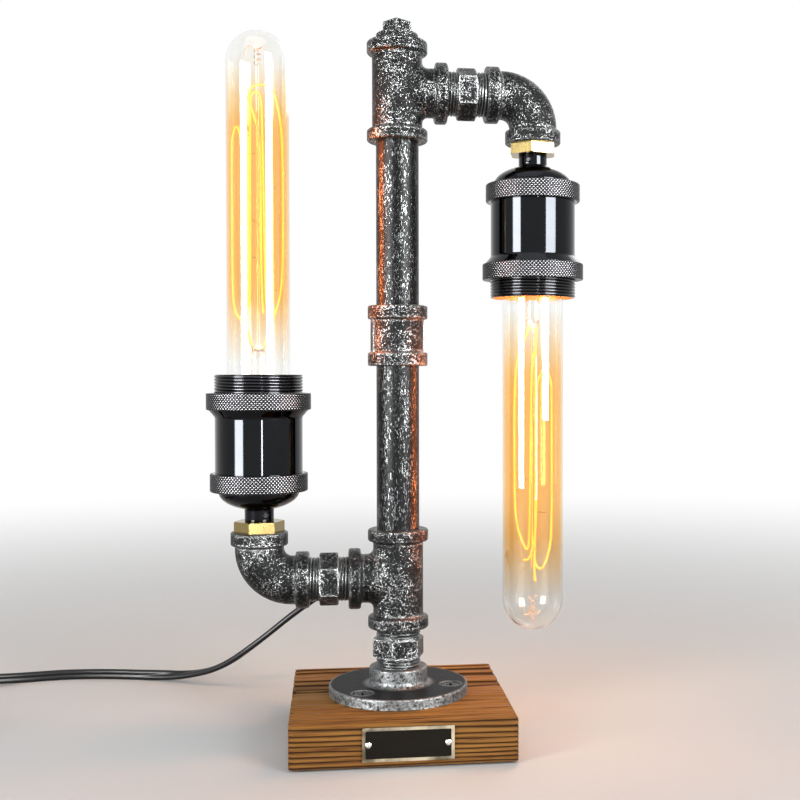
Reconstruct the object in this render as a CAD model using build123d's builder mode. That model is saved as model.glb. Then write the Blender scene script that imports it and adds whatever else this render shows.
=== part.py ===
from build123d import *
import math
import os

os.makedirs("parts", exist_ok=True)

# A table lamp built from half-inch pipe fittings: a wooden block carries a floor flange, a
# column of two pipes between two tees, and one short arm at each tee. The lower arm ends in a
# lamp holder that points up, the upper arm in the same holder pointing down.
# Origin: on the column's axis, at the surface that the lamp stands on. +Z up, -Y front.

# ---- Driving dimensions, mm ----------------------------------------------------------------
# wooden block, its felt pads and its nameplate
block_side = 106.0
block_height = 20.5
block_ease = 0.8
pad_diameter = 14.0
pad_thickness = 1.0
pad_reach = 38.0
plate_width = 42.5
plate_height = 15.8
plate_thickness = 0.8
plate_border = 1.5
plate_field_depth = 0.25
plate_centre_x = 1.7
plate_centre_height = 10.6
plate_corner = 0.6
plate_pin_head_radius = 1.3
plate_pin_head_height = 0.7
plate_pin_clearance = 0.05
plate_pin_shank_radius = 0.6
plate_pin_length = 9.0

# half-inch pipe and its thread
pipe_diameter = 21.3
pipe_bore = 15.8
thread_engagement = 13.0
thread_relief = 1.0
swivel_clearance = 0.05

# floor flange
flange_radius = 34.7
flange_thickness = 4.9
flange_edge = 0.8
hub_radius = 14.5
hub_height = 13.5
hub_foot = 2.5
flange_hole_count = 3
flange_hole_circle = 26.5
flange_hole_radius = 3.0
flange_sink_radius = 5.25
flange_hole_angle = -14.0

# flange screws
screw_head_radius = 4.9
screw_head_height = 2.9
screw_sink = 0.5
screw_shank_radius = 2.2
screw_length = 19.0
screw_slot_width = 1.0
screw_slot_length = 4.6
screw_slot_depth = 1.4

# hex nipples
nipple_exposed = 19.3
hex_width = 9.4
hex_across_flats = 23.0
hex_chamfer = 0.9
base_nipple_turn = -16.5

# tees, elbows and coupling, with their bands
tee_reach = 24.8
tee_body_radius = 12.5
tee_branch_radius = 12.1
tee_band_radius = 15.1
tee_band_width = 6.1
tee_saddle = 3.0
elbow_reach = 24.4
elbow_body_radius = 12.0
elbow_band_radius = 14.0
elbow_band_width = 6.7
waterway_radius = 8.2
band_edge = 1.2
band_foot = 0.9
band_root = 1.5
coupling_length = 30.0
coupling_body_radius = 12.85
coupling_band_radius = 14.9
coupling_band_width = 6.75
coupling_rib_width = 5.5
coupling_rib_radius = 13.3
coupling_rib_count = 2
coupling_rib_angle = 192.0
pipe_visible = 81.45

# plug that closes the top of the column
plug_shoulder_radius = 10.5
plug_shoulder_height = 4.0
plug_square = 10.0
plug_square_height = 6.6
plug_square_edge = 0.8
plug_turn = 38.5
plug_thread_length = 11.0

# lamp holder, heights from the elbow's face
bushing_height = 5.3
bushing_across_flats = 21.5
bushing_chamfer = 0.6
lower_bushing_turn = 9.5
upper_bushing_turn = 41.7
bushing_thread_length = 10.0
neck_radius = 7.15
neck_height = 6.1
neck_fillet = 1.2
tube_radius = 5.0
tube_bore = 7.2
tube_into_cap = 1.6
dome_height = 8.75
dome_radius = 19.8
cap_wall = 1.4
cap_ring_radius = 23.9
cap_ring_width = 9.0
ring_edge = 0.6
ledge_rise = 1.4
shell_radius = 21.35
shell_bore_radius = 20.2
shell_body_height = 28.0
shell_flare_height = 3.0
shell_flare_radius = 24.4
collar_radius = 21.6
shade_ring_radius = 25.6
shade_ring_width = 8.4
shade_ring_clearance = 0.08
shade_ring_seat = 0.05
rim_above_ring = 8.95
core_flange_thickness = 2.5
core_radius = 16.6
core_floor = 4.0
core_chamfer = 4.0
core_height = 27.0
sleeve_radius = 13.85
sleeve_wall = 0.5
sleeve_height = 22.0
contact_heel = -7.5
contact_foot_length = 10.5
contact_fold = 3.4
contact_tip = 3.75
contact_pad_length = 3.0
contact_width = 5.0
contact_thickness = 0.6
contact_rise = 1.9

# tubular bulb
bulb_radius = 15.33
bulb_length = 225.0
bulb_hidden = 56.5
bulb_wall = 0.9
bulb_neck_radius = 12.6
bulb_neck_length = 9.0
bulb_shoulder_length = 12.0
bulb_cap_wall = 0.4
bulb_cap_length = 25.0
bulb_contact_radius = 4.5
bulb_contact_height = 1.2
bulb_insulator_height = 2.2
bulb_insulator_radius = 9.0
stem_foot_thickness = 1.2
stem_tube_radius = 3.6
stem_tube_length = 52.0
stem_rod_radius = 0.9
stem_rod_length = 146.0
filament_strands = 8
filament_circle = 8.0
filament_wire_radius = 0.3
filament_clearance = 0.2
filament_bottom = 84.0
filament_height = 95.0
filament_lead_depth = 6.0

# cord, its gland and what is on it
cord_diameter = 6.0
cord_bend_share = 0.45
gland_seat_radius = 6.8
gland_seat_depth = 10.6
gland_collar_radius = 6.5
gland_collar_width = 3.9
gland_hole_radius = 4.2
relief_length = 22.0
relief_root_radius = 4.9
relief_tip_radius = 3.7
lead_radius = 2.4
lead_gap = 0.3
splice_radius = 3.3
splice_length = 20.0
splice_spacing = 7.2
splice_drop = 16.0
coil_centre = (-262.0, 12.0)
coil_inner_radius = 24.0
coil_outer_radius = 42.0
coil_layers = 2
coil_edge = 2.0
switch_heading = 228.0
switch_start = (-243.0, 112.0)
switch_length = 62.0
switch_width = 24.0
switch_end_width = 15.0
switch_waist = 11.0
switch_base_height = 6.0
switch_cover_height = 9.0
switch_edge = 2.5
switch_cord_height = 6.0
rocker_length = 19.0
rocker_width = 12.6
rocker_pivot_height = 10.0
rocker_bottom_height = 8.8
rocker_wing_height = 16.6
rocker_dip = 1.6
rocker_tilt = 8.0
rocker_clearance = 0.3
trunnion_radius = 1.5
trunnion_length = 1.0
switch_screw_spacing = 44.0
switch_screw_head_radius = 2.6
switch_screw_head_height = 1.8
switch_screw_radius = 1.3
switch_screw_length = 11.0
switch_screw_sink = 1.0
plug_start = (-288.0, -64.0, 6.85)
plug_relief_length = 18.0
plug_relief_radius = 5.0
plug_body_length = 36.0
plug_body_width = 35.3
plug_front_width = 26.0
plug_back_width = 13.0
plug_widest = 0.62
plug_body_thickness = 13.7
plug_edge = 2.0
pin_spacing = 18.6
pin_radius = 2.0
pin_length = 19.0
pin_sunk = 3.0

# ---- Heights and places that follow from them ----------------------------------------------
block_top = pad_thickness + block_height
plate_pin_inset = plate_border + plate_pin_head_radius + plate_pin_clearance
plate_pin_spacing = plate_width - 2 * plate_pin_inset
hub_top = block_top + hub_height
lower_tee_z = hub_top + nipple_exposed + tee_reach
coupling_bottom = lower_tee_z + tee_reach + pipe_visible
coupling_top = coupling_bottom + coupling_length
upper_tee_z = coupling_top + pipe_visible + tee_reach
head_x = tee_reach + nipple_exposed + elbow_reach
thread_radius = pipe_diameter / 2
swivel_bore = thread_radius + swivel_clearance
socket_depth = thread_engagement + thread_relief
hex_start = (nipple_exposed - hex_width) / 2
cord_radius = cord_diameter / 2

neck_top = bushing_height + neck_height
cap_base = neck_top + dome_height
cap_top = cap_base + cap_ring_width
ledge = cap_base + ledge_rise
shell_bottom = ledge + core_flange_thickness
shoulder = cap_top + shell_body_height
ring_seat = shoulder + shell_flare_height
ring_bottom = ring_seat + shade_ring_seat
rim = ring_seat + shade_ring_width + rim_above_ring
bulb_foot = rim - bulb_hidden
bulb_cap_start = bulb_foot + bulb_contact_height + bulb_insulator_height
bulb_cap_end = bulb_cap_start + bulb_cap_length
bulb_neck_bottom = bulb_cap_end - bulb_neck_length
core_bottom = bulb_foot - core_floor - contact_rise
core_rim = core_bottom + core_height

# how near a corner lies to a value for it to be the corner meant
tolerance = 0.01

# ---- Planes --------------------------------------------------------------------------------
front = Plane(origin=(0, 0, 0), x_dir=(1, 0, 0), z_dir=(0, -1, 0))
column = Axis((0, 0, 0), (0, 0, 1))
lower_seat = Plane(origin=(-head_x, 0, lower_tee_z + elbow_reach), x_dir=(1, 0, 0), z_dir=(0, 0, 1))
upper_seat = Plane(origin=(head_x, 0, upper_tee_z - elbow_reach), x_dir=(-1, 0, 0), z_dir=(0, 0, -1))


def profile_of(seat):
    """The plane through a seat's axis: sketch x is the radius, sketch y the height."""
    return Plane(origin=seat.origin, x_dir=seat.x_dir, z_dir=-seat.y_dir)


def axis_of(seat):
    return Axis(seat.origin, seat.z_dir)


def save(piece, name):
    piece.part.label = name
    export_step(piece.part, f"parts/{name}.step")


def not_on_axis(vertices):
    return vertices.filter_by(lambda v: v.X > tolerance)


# ---- Wooden block, pads and nameplate ------------------------------------------------------
with BuildPart() as base_block:
    with BuildSketch(Plane.XY.offset(pad_thickness)):
        Rectangle(block_side, block_side)
    extrude(amount=block_height)
    fillet(base_block.edges(), radius=block_ease)
    screw_top = block_top + flange_thickness - screw_sink
    with BuildSketch(Plane.XY.offset(block_top)):
        with PolarLocations(flange_hole_circle, flange_hole_count, start_angle=flange_hole_angle):
            Circle(screw_shank_radius)
    extrude(amount=-(screw_length - (screw_top - block_top)), mode=Mode.SUBTRACT)
    plate_z = pad_thickness + plate_centre_height
    block_face = front.offset(block_side / 2)
    with BuildSketch(block_face):
        with Locations((plate_centre_x, plate_z)):
            with GridLocations(plate_pin_spacing, 0, 2, 1):
                Circle(plate_pin_shank_radius)
    extrude(amount=-(plate_pin_length - plate_thickness), mode=Mode.SUBTRACT)
save(base_block, "base_block")

with BuildPart() as felt_pads:
    with BuildSketch(Plane.XY):
        with GridLocations(2 * pad_reach, 2 * pad_reach, 2, 2):
            Circle(pad_diameter / 2)
    extrude(amount=pad_thickness)
save(felt_pads, "felt_pads")

with BuildPart() as nameplate:
    with BuildSketch(block_face):
        with Locations((plate_centre_x, plate_z)):
            RectangleRounded(plate_width, plate_height, plate_corner)
    extrude(amount=plate_thickness)
    with BuildSketch(block_face.offset(plate_thickness)):
        with Locations((plate_centre_x, plate_z)):
            RectangleRounded(plate_width - 2 * plate_border, plate_height - 2 * plate_border, plate_corner)
    extrude(amount=-plate_field_depth, mode=Mode.SUBTRACT)
    with BuildSketch(block_face):
        with Locations((plate_centre_x, plate_z)):
            with GridLocations(plate_pin_spacing, 0, 2, 1):
                Circle(plate_pin_shank_radius)
    extrude(amount=plate_thickness, mode=Mode.SUBTRACT)
save(nameplate, "nameplate")

with BuildPart() as nameplate_pins:
    pin_seat = plate_thickness - plate_field_depth
    for side in (-1, 1):
        pin_plane = Plane(
            origin=(plate_centre_x + side * plate_pin_spacing / 2, -block_side / 2, plate_z),
            x_dir=(1, 0, 0),
            z_dir=(0, -1, 0),
        )
        with BuildSketch(profile_of(pin_plane)):
            with BuildLine():
                Polyline(
                    (0, plate_thickness - plate_pin_length),
                    (plate_pin_shank_radius, plate_thickness - plate_pin_length),
                    (plate_pin_shank_radius, pin_seat),
                    (plate_pin_head_radius, pin_seat),
                    (plate_pin_head_radius, pin_seat + plate_pin_head_height / 2),
                    (plate_pin_head_radius / 2, pin_seat + plate_pin_head_height),
                    (0, pin_seat + plate_pin_head_height),
                    close=True,
                )
            make_face()
        revolve(axis=axis_of(pin_plane))
save(nameplate_pins, "nameplate_pins")

# ---- Floor flange and its screws -----------------------------------------------------------
with BuildPart() as floor_flange:
    with BuildSketch(front) as flange_outline:
        with Locations((0, block_top)):
            Rectangle(flange_radius, flange_thickness, align=(Align.MIN, Align.MIN))
            Rectangle(hub_radius, hub_height, align=(Align.MIN, Align.MIN))
        upper = not_on_axis(flange_outline.vertices()).filter_by(lambda v: v.Y > block_top + tolerance)
        hub_side = upper.filter_by(lambda v: abs(v.X - hub_radius) < tolerance)
        fillet(hub_side.sort_by(Axis.Y)[0], radius=hub_foot)
        rims = not_on_axis(flange_outline.vertices()).filter_by(
            lambda v: v.Y > hub_top - tolerance
            or v.Y > block_top + tolerance and abs(v.X - flange_radius) < tolerance
        )
        fillet(rims, radius=flange_edge)
        with Locations((0, block_top)):
            Rectangle(thread_radius, hub_height, align=(Align.MIN, Align.MIN), mode=Mode.SUBTRACT)
    revolve(axis=column)
    with Locations(Plane.XY.offset(block_top + flange_thickness)):
        with PolarLocations(flange_hole_circle, flange_hole_count, start_angle=flange_hole_angle):
            CounterSinkHole(flange_hole_radius, flange_sink_radius, counter_sink_angle=82)
save(floor_flange, "floor_flange")

with BuildPart() as flange_screws:
    for spot in range(flange_hole_count):
        turn = math.radians(flange_hole_angle + spot * 360 / flange_hole_count)
        screw_plane = Plane(
            origin=(flange_hole_circle * math.cos(turn), flange_hole_circle * math.sin(turn), screw_top),
            x_dir=(1, 0, 0),
            z_dir=(0, 0, 1),
        )
        with BuildSketch(profile_of(screw_plane)):
            with BuildLine():
                Polyline(
                    (0, 0),
                    (screw_head_radius - screw_sink, 0),
                    (screw_shank_radius, -screw_head_height),
                    (screw_shank_radius, -screw_length + screw_shank_radius),
                    (0, -screw_length),
                    close=True,
                )
            make_face()
        revolve(axis=axis_of(screw_plane))
        with BuildSketch(screw_plane):
            Rectangle(screw_slot_length, screw_slot_width)
            Rectangle(screw_slot_width, screw_slot_length)
        extrude(amount=-screw_slot_depth, mode=Mode.SUBTRACT)
save(flange_screws, "flange_screws")


# ---- Threaded fittings ---------------------------------------------------------------------
def hex_nipple(seat, turn):
    """A nipple that starts thread_engagement below its seat plane, with a hexagon between threads."""
    corner_radius = hex_across_flats / 2 / math.cos(math.radians(30))
    rise = 2 * hex_chamfer * math.tan(math.radians(30))
    with BuildPart() as nipple:
        with BuildSketch(seat.offset(-thread_engagement)):
            Circle(thread_radius)
        extrude(amount=nipple_exposed + 2 * thread_engagement)
        with BuildSketch(seat.offset(hex_start)):
            RegularPolygon(hex_across_flats / 2, 6, major_radius=False, rotation=30 + turn)
        extrude(amount=hex_width)
        # the corners are turned off at both ends
        with BuildSketch(profile_of(seat)):
            with BuildLine():
                Polyline(
                    (0, -thread_engagement),
                    (thread_radius, -thread_engagement),
                    (thread_radius, hex_start),
                    (corner_radius - hex_chamfer, hex_start),
                    (corner_radius + hex_chamfer, hex_start + rise),
                    (corner_radius + hex_chamfer, hex_start + hex_width - rise),
                    (corner_radius - hex_chamfer, hex_start + hex_width),
                    (thread_radius, hex_start + hex_width),
                    (thread_radius, nipple_exposed + thread_engagement),
                    (0, nipple_exposed + thread_engagement),
                    close=True,
                )
            make_face()
        revolve(axis=axis_of(seat), mode=Mode.INTERSECT)
        with BuildSketch(seat.offset(-thread_engagement)):
            Circle(pipe_bore / 2)
        extrude(amount=nipple_exposed + 2 * thread_engagement, mode=Mode.SUBTRACT)
    return nipple


def pipe_tee(height, side, run_bore):
    """A banded tee: its run stands on the column at this height, its branch points to side * X."""
    middle = Plane(origin=(0, 0, height), x_dir=(side, 0, 0), z_dir=(0, 0, 1))
    mouth = Plane(origin=(side * tee_reach, 0, height), x_dir=(0, 0, 1), z_dir=(side, 0, 0))
    with BuildPart() as tee:
        with BuildSketch(profile_of(middle)) as run:
            Rectangle(tee_body_radius, 2 * tee_reach, align=(Align.MIN, Align.CENTER))
            with Locations((0, tee_reach), (0, tee_band_width - tee_reach)):
                Rectangle(tee_band_radius, tee_band_width, align=(Align.MIN, Align.MAX))
            fillet(not_on_axis(run.vertices()), radius=band_edge)
        revolve(axis=axis_of(middle))
        with BuildSketch(profile_of(mouth)) as branch:
            Rectangle(tee_branch_radius, tee_reach, align=(Align.MIN, Align.MAX))
            Rectangle(tee_band_radius, tee_band_width, align=(Align.MIN, Align.MAX))
            outer = not_on_axis(branch.vertices()).filter_by(lambda v: v.Y > -tee_reach + 1)
            fillet(outer, radius=band_edge)
        revolve(axis=axis_of(mouth))
        saddle = tee.edges().filter_by(lambda e: e.geom_type not in (GeomType.CIRCLE, GeomType.LINE))
        fillet(saddle, radius=tee_saddle)
        with BuildSketch(middle.offset(-tee_reach)):
            Circle(waterway_radius)
        extrude(amount=2 * tee_reach, mode=Mode.SUBTRACT)
        with BuildSketch(mouth):
            Circle(waterway_radius)
        extrude(amount=-tee_reach, mode=Mode.SUBTRACT)
        with BuildSketch(mouth):
            Circle(thread_radius)
        extrude(amount=-socket_depth, mode=Mode.SUBTRACT)
        with BuildSketch(middle.offset(tee_reach)):
            Circle(thread_radius)
        extrude(amount=-socket_depth, mode=Mode.SUBTRACT)
        with BuildSketch(middle.offset(-tee_reach)):
            Circle(run_bore)
        extrude(amount=socket_depth, mode=Mode.SUBTRACT)
    return tee


def pipe_length(bottom, top):
    with BuildPart() as pipe:
        with BuildSketch(Plane.XY.offset(bottom - thread_engagement)):
            Circle(pipe_diameter / 2)
            Circle(pipe_bore / 2, mode=Mode.SUBTRACT)
        extrude(amount=top - bottom + 2 * thread_engagement)
    return pipe


base_nipple = hex_nipple(Plane.XY.offset(hub_top), base_nipple_turn)
save(base_nipple, "base_nipple")

with BuildPart() as lower_tee:
    add(pipe_tee(lower_tee_z, -1, thread_radius).part)
    gland_seat = Plane(origin=(0, gland_seat_depth, lower_tee_z), x_dir=(-1, 0, 0), z_dir=(0, 1, 0))
    with BuildSketch(gland_seat):
        Circle(gland_seat_radius)
    extrude(amount=tee_body_radius, mode=Mode.SUBTRACT)
    with BuildSketch(gland_seat):
        Circle(gland_hole_radius)
    extrude(amount=-gland_seat_depth, mode=Mode.SUBTRACT)
save(lower_tee, "lower_tee")

lower_pipe = pipe_length(lower_tee_z + tee_reach, coupling_bottom)
save(lower_pipe, "lower_pipe")

with BuildPart() as coupling:
    coupling_middle = Plane.XY.offset((coupling_bottom + coupling_top) / 2)
    with BuildSketch(profile_of(coupling_middle)) as coupling_outline:
        Rectangle(coupling_body_radius, coupling_length, align=(Align.MIN, Align.CENTER))
        with Locations((0, coupling_length / 2), (0, coupling_band_width - coupling_length / 2)):
            Rectangle(coupling_band_radius, coupling_band_width, align=(Align.MIN, Align.MAX))
        fillet(not_on_axis(coupling_outline.vertices()), radius=band_foot)
    revolve(axis=column)
    with BuildSketch(coupling_middle.offset(-coupling_length / 2 + coupling_band_width / 2)):
        with PolarLocations(0, coupling_rib_count, start_angle=coupling_rib_angle):
            Rectangle(coupling_rib_radius, coupling_rib_width, align=(Align.MIN, Align.CENTER))
    extrude(amount=coupling_length - coupling_band_width)
    with BuildSketch(coupling_middle.offset(-coupling_length / 2)):
        Circle(thread_radius)
    extrude(amount=coupling_length, mode=Mode.SUBTRACT)
save(coupling, "coupling")

upper_pipe = pipe_length(coupling_top, upper_tee_z - tee_reach)
save(upper_pipe, "upper_pipe")

upper_tee = pipe_tee(upper_tee_z, 1, swivel_bore)
save(upper_tee, "upper_tee")

for name, side, height in (("lower_arm_nipple", -1, lower_tee_z), ("upper_arm_nipple", 1, upper_tee_z)):
    branch_face = Plane(origin=(side * tee_reach, 0, height), x_dir=(0, 1, 0), z_dir=(side, 0, 0))
    save(hex_nipple(branch_face, 0), name)

with BuildPart() as top_plug:
    column_top = Plane.XY.offset(upper_tee_z + tee_reach)
    with BuildSketch(column_top.offset(-plug_thread_length)):
        Circle(thread_radius)
    extrude(amount=plug_thread_length)
    with BuildSketch(column_top):
        Circle(plug_shoulder_radius)
    extrude(amount=plug_shoulder_height)
    fillet(top_plug.edges().group_by(Axis.Z)[-1], radius=plug_square_edge)
    with BuildSketch(column_top.offset(plug_shoulder_height)):
        Rectangle(plug_square, plug_square, rotation=plug_turn)
    extrude(amount=plug_square_height)
    fillet(top_plug.edges().group_by(Axis.Z)[-1], radius=plug_square_edge)
save(top_plug, "top_plug")


# ---- The two heads -------------------------------------------------------------------------
def elbow(seat):
    """A banded elbow: one mouth is the seat plane, the other faces the column along the arm."""
    straight = elbow_band_width + band_root
    bend_radius = elbow_reach - straight
    profile = profile_of(seat)
    arm_mouth = Plane(
        origin=profile.from_local_coords((elbow_reach, -elbow_reach, 0)),
        x_dir=seat.z_dir,
        z_dir=seat.x_dir,
    )
    with BuildPart() as bend:
        with BuildLine(profile) as middle_line:
            CenterArc((bend_radius, -straight), bend_radius, start_angle=180, arc_size=90)
        with BuildSketch(seat.offset(-straight)):
            Circle(elbow_body_radius)
        sweep(path=middle_line.wires()[0])
        for mouth in (seat, arm_mouth):
            with BuildSketch(profile_of(mouth)) as band:
                Rectangle(elbow_body_radius, straight, align=(Align.MIN, Align.MAX))
                Rectangle(elbow_band_radius, elbow_band_width, align=(Align.MIN, Align.MAX))
                edges = not_on_axis(band.vertices()).filter_by(lambda v: v.Y > -straight + tolerance)
                fillet(edges, radius=band_foot)
            revolve(axis=axis_of(mouth))
        with BuildSketch(seat.offset(-straight)):
            Circle(waterway_radius)
        sweep(path=middle_line.wires()[0], mode=Mode.SUBTRACT)
        for mouth, bore in ((seat, thread_radius), (arm_mouth, swivel_bore)):
            with BuildSketch(mouth):
                Circle(waterway_radius)
            extrude(amount=-straight, mode=Mode.SUBTRACT)
            with BuildSketch(mouth):
                Circle(bore)
            extrude(amount=-socket_depth, mode=Mode.SUBTRACT)
    return bend


def brass_bushing(seat, turn):
    corner_radius = bushing_across_flats / 2 / math.cos(math.radians(30))
    rise = 2 * bushing_chamfer * math.tan(math.radians(30))
    with BuildPart() as bushing:
        with BuildSketch(seat):
            RegularPolygon(bushing_across_flats / 2, 6, major_radius=False, rotation=turn)
        extrude(amount=bushing_height)
        with BuildSketch(profile_of(seat)):
            with BuildLine():
                Polyline(
                    (0, 0),
                    (corner_radius + bushing_chamfer, 0),
                    (corner_radius + bushing_chamfer, bushing_height - rise),
                    (corner_radius - bushing_chamfer, bushing_height),
                    (0, bushing_height),
                    close=True,
                )
            make_face()
        revolve(axis=axis_of(seat), mode=Mode.INTERSECT)
        with BuildSketch(seat):
            Circle(thread_radius)
        extrude(amount=-bushing_thread_length)
        with BuildSketch(seat.offset(-bushing_thread_length)):
            Circle(tube_radius)
        extrude(amount=bushing_thread_length + bushing_height, mode=Mode.SUBTRACT)
    return bushing


def neck_tube(seat):
    """Threaded brass tube that carries the cap on the bushing and lets the leads through."""
    with BuildPart() as tube:
        with BuildSketch(seat.offset(-bushing_thread_length)):
            Circle(tube_radius)
            Circle(tube_bore / 2, mode=Mode.SUBTRACT)
        extrude(amount=bushing_thread_length + neck_top + tube_into_cap)
    return tube


def holder_cap(seat):
    """Neck, dome and knurled ring in one; a bore takes the shell and a ledge takes the core."""
    neck_angle = math.degrees(math.acos(neck_radius / dome_radius))
    dome_depth = dome_height / math.sin(math.radians(neck_angle))
    well_radius = core_radius + cap_wall
    floor_angle = math.degrees(math.acos((tube_radius + cap_wall) / well_radius))
    with BuildPart() as cap:
        with BuildSketch(profile_of(seat)) as section:
            with BuildLine():
                Line((tube_radius, bushing_height), (neck_radius, bushing_height))
                Line((neck_radius, bushing_height), (neck_radius, neck_top))
                dome = EllipticalCenterArc(
                    (0, cap_base), dome_radius, dome_depth, start_angle=-neck_angle, arc_size=neck_angle
                )
                well = EllipticalCenterArc(
                    (0, cap_base),
                    well_radius,
                    dome_depth - cap_wall,
                    start_angle=-floor_angle,
                    arc_size=floor_angle,
                )
                Polyline(
                    dome @ 1,
                    (cap_ring_radius, cap_base),
                    (cap_ring_radius, cap_top),
                    (shell_radius, cap_top),
                    (shell_radius, ledge),
                    (well_radius, ledge),
                    well @ 1,
                )
                Polyline(well @ 0, (tube_radius, (well @ 0).Y), (tube_radius, bushing_height))
            make_face()
            outer = section.vertices().filter_by(lambda v: abs(v.X - cap_ring_radius) < tolerance)
            fillet(outer, radius=ring_edge)
            throat = section.vertices().filter_by(
                lambda v: abs(v.X - neck_radius) < tolerance and abs(v.Y - neck_top) < tolerance
            )
            fillet(throat, radius=neck_fillet)
        revolve(axis=axis_of(seat))
    return cap


def holder_shell(seat):
    """The bright body, the flare that seats the shade ring, and the threaded collar."""
    with BuildPart() as shell:
        with BuildSketch(profile_of(seat)):
            with BuildLine():
                Polyline(
                    (shell_bore_radius, shell_bottom),
                    (shell_radius, shell_bottom),
                    (shell_radius, shoulder),
                    (shell_flare_radius, ring_seat),
                    (collar_radius, ring_seat),
                    (collar_radius, rim),
                    (shell_bore_radius, rim),
                    close=True,
                )
            make_face()
        revolve(axis=axis_of(seat))
    return shell


def shade_ring(seat):
    with BuildPart() as ring:
        with BuildSketch(profile_of(seat)) as section:
            with Locations((collar_radius + shade_ring_clearance, ring_bottom)):
                Rectangle(
                    shade_ring_radius - collar_radius - shade_ring_clearance,
                    shade_ring_width,
                    align=(Align.MIN, Align.MIN),
                )
            fillet(section.vertices().group_by(Axis.X)[-1], radius=ring_edge)
        revolve(axis=axis_of(seat))
    return ring


def socket_core(seat):
    """Insulating core: a flange held between cap and shell, and a well for the screw sleeve."""
    with BuildPart() as core:
        with BuildSketch(profile_of(seat)):
            with BuildLine():
                Polyline(
                    (0, core_bottom),
                    (core_radius - core_chamfer, core_bottom),
                    (core_radius, core_bottom + core_chamfer),
                    (core_radius, ledge),
                    (shell_radius, ledge),
                    (shell_radius, shell_bottom),
                    (core_radius, shell_bottom),
                    (core_radius, core_rim),
                    (sleeve_radius, core_rim),
                    (sleeve_radius, core_bottom + core_floor),
                    (0, core_bottom + core_floor),
                    close=True,
                )
            make_face()
        revolve(axis=axis_of(seat))
    return core


def screw_sleeve(seat):
    with BuildPart() as sleeve:
        with BuildSketch(seat.offset(core_rim - sleeve_height)):
            Circle(sleeve_radius)
            Circle(sleeve_radius - sleeve_wall, mode=Mode.SUBTRACT)
        extrude(amount=sleeve_height)
    return sleeve


def centre_contact(seat):
    """A springy brass tongue that rises from the core's floor to the bulb's foot."""
    floor = core_bottom + core_floor
    with BuildPart() as contact:
        with BuildSketch(profile_of(seat)):
            with BuildLine():
                Polyline(
                    (contact_heel, floor),
                    (contact_heel + contact_foot_length, floor),
                    (contact_heel + contact_foot_length, floor + contact_thickness),
                    (contact_heel + contact_fold, floor + contact_thickness),
                    (contact_tip, floor + contact_rise - contact_thickness),
                    (contact_tip, floor + contact_rise),
                    (contact_tip - contact_pad_length, floor + contact_rise),
                    (contact_heel, floor + contact_thickness),
                    close=True,
                )
            make_face()
        extrude(amount=contact_width / 2, both=True)
    return contact


def head_leads(seat):
    profile = profile_of(seat)
    start = elbow_reach + nipple_exposed / 2
    with BuildPart() as leads:
        with BuildLine(profile) as route:
            FilletPolyline(
                (start, -elbow_reach),
                (0, -elbow_reach),
                (0, core_bottom),
                radius=elbow_reach / 2,
            )
        start_plane = Plane(
            origin=profile.from_local_coords((start, -elbow_reach, 0)),
            x_dir=seat.z_dir,
            z_dir=-seat.x_dir,
        )
        with BuildSketch(start_plane):
            Circle(lead_radius)
        sweep(path=route.wires()[0])
    return leads


def bulb_glass(seat):
    """A tubular envelope, open at the neck where the cap is cemented on."""
    full = bulb_cap_end + bulb_shoulder_length
    top = bulb_foot + bulb_length
    inner = bulb_radius - bulb_wall
    neck_inner = bulb_neck_radius - bulb_wall
    with BuildPart() as glass:
        with BuildSketch(profile_of(seat)):
            with BuildLine():
                Line((bulb_neck_radius, bulb_neck_bottom), (bulb_neck_radius, bulb_cap_end))
                Spline(
                    (bulb_neck_radius, bulb_cap_end),
                    (bulb_radius, full),
                    tangents=((0, 1), (0, 1)),
                )
                Line((bulb_radius, full), (bulb_radius, top - bulb_radius))
                CenterArc((0, top - bulb_radius), bulb_radius, 0, 90)
                Line((0, top), (0, top - bulb_wall))
                CenterArc((0, top - bulb_radius), inner, 0, 90)
                Line((inner, top - bulb_radius), (inner, full))
                Spline(
                    (inner, full),
                    (neck_inner, bulb_cap_end),
                    tangents=((0, -1), (0, -1)),
                )
                Line((neck_inner, bulb_cap_end), (neck_inner, bulb_neck_bottom))
                Line((neck_inner, bulb_neck_bottom), (bulb_neck_radius, bulb_neck_bottom))
            make_face()
        revolve(axis=axis_of(seat))
    return glass


def bulb_cap(seat):
    with BuildPart() as cap:
        with BuildSketch(seat.offset(bulb_cap_start)):
            Circle(bulb_neck_radius + bulb_cap_wall)
            Circle(bulb_neck_radius, mode=Mode.SUBTRACT)
        extrude(amount=bulb_cap_length)
        with BuildSketch(seat.offset(bulb_cap_start)):
            Circle(bulb_neck_radius)
            Circle(bulb_insulator_radius, mode=Mode.SUBTRACT)
        extrude(amount=bulb_cap_wall)
    return cap


def bulb_contact(seat):
    """Glass insulator with the solder button at the bulb's foot."""
    button_top = bulb_foot + bulb_contact_height
    with BuildPart() as contact:
        with BuildSketch(profile_of(seat)):
            with BuildLine():
                Polyline(
                    (0, bulb_foot),
                    (bulb_contact_radius - bulb_contact_height / 2, bulb_foot),
                    (bulb_contact_radius, button_top),
                    (bulb_insulator_radius, bulb_cap_start),
                    (bulb_insulator_radius, bulb_cap_start + bulb_cap_wall),
                    (0, bulb_cap_start + bulb_cap_wall),
                    close=True,
                )
            make_face()
        revolve(axis=axis_of(seat))
    return contact


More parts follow.
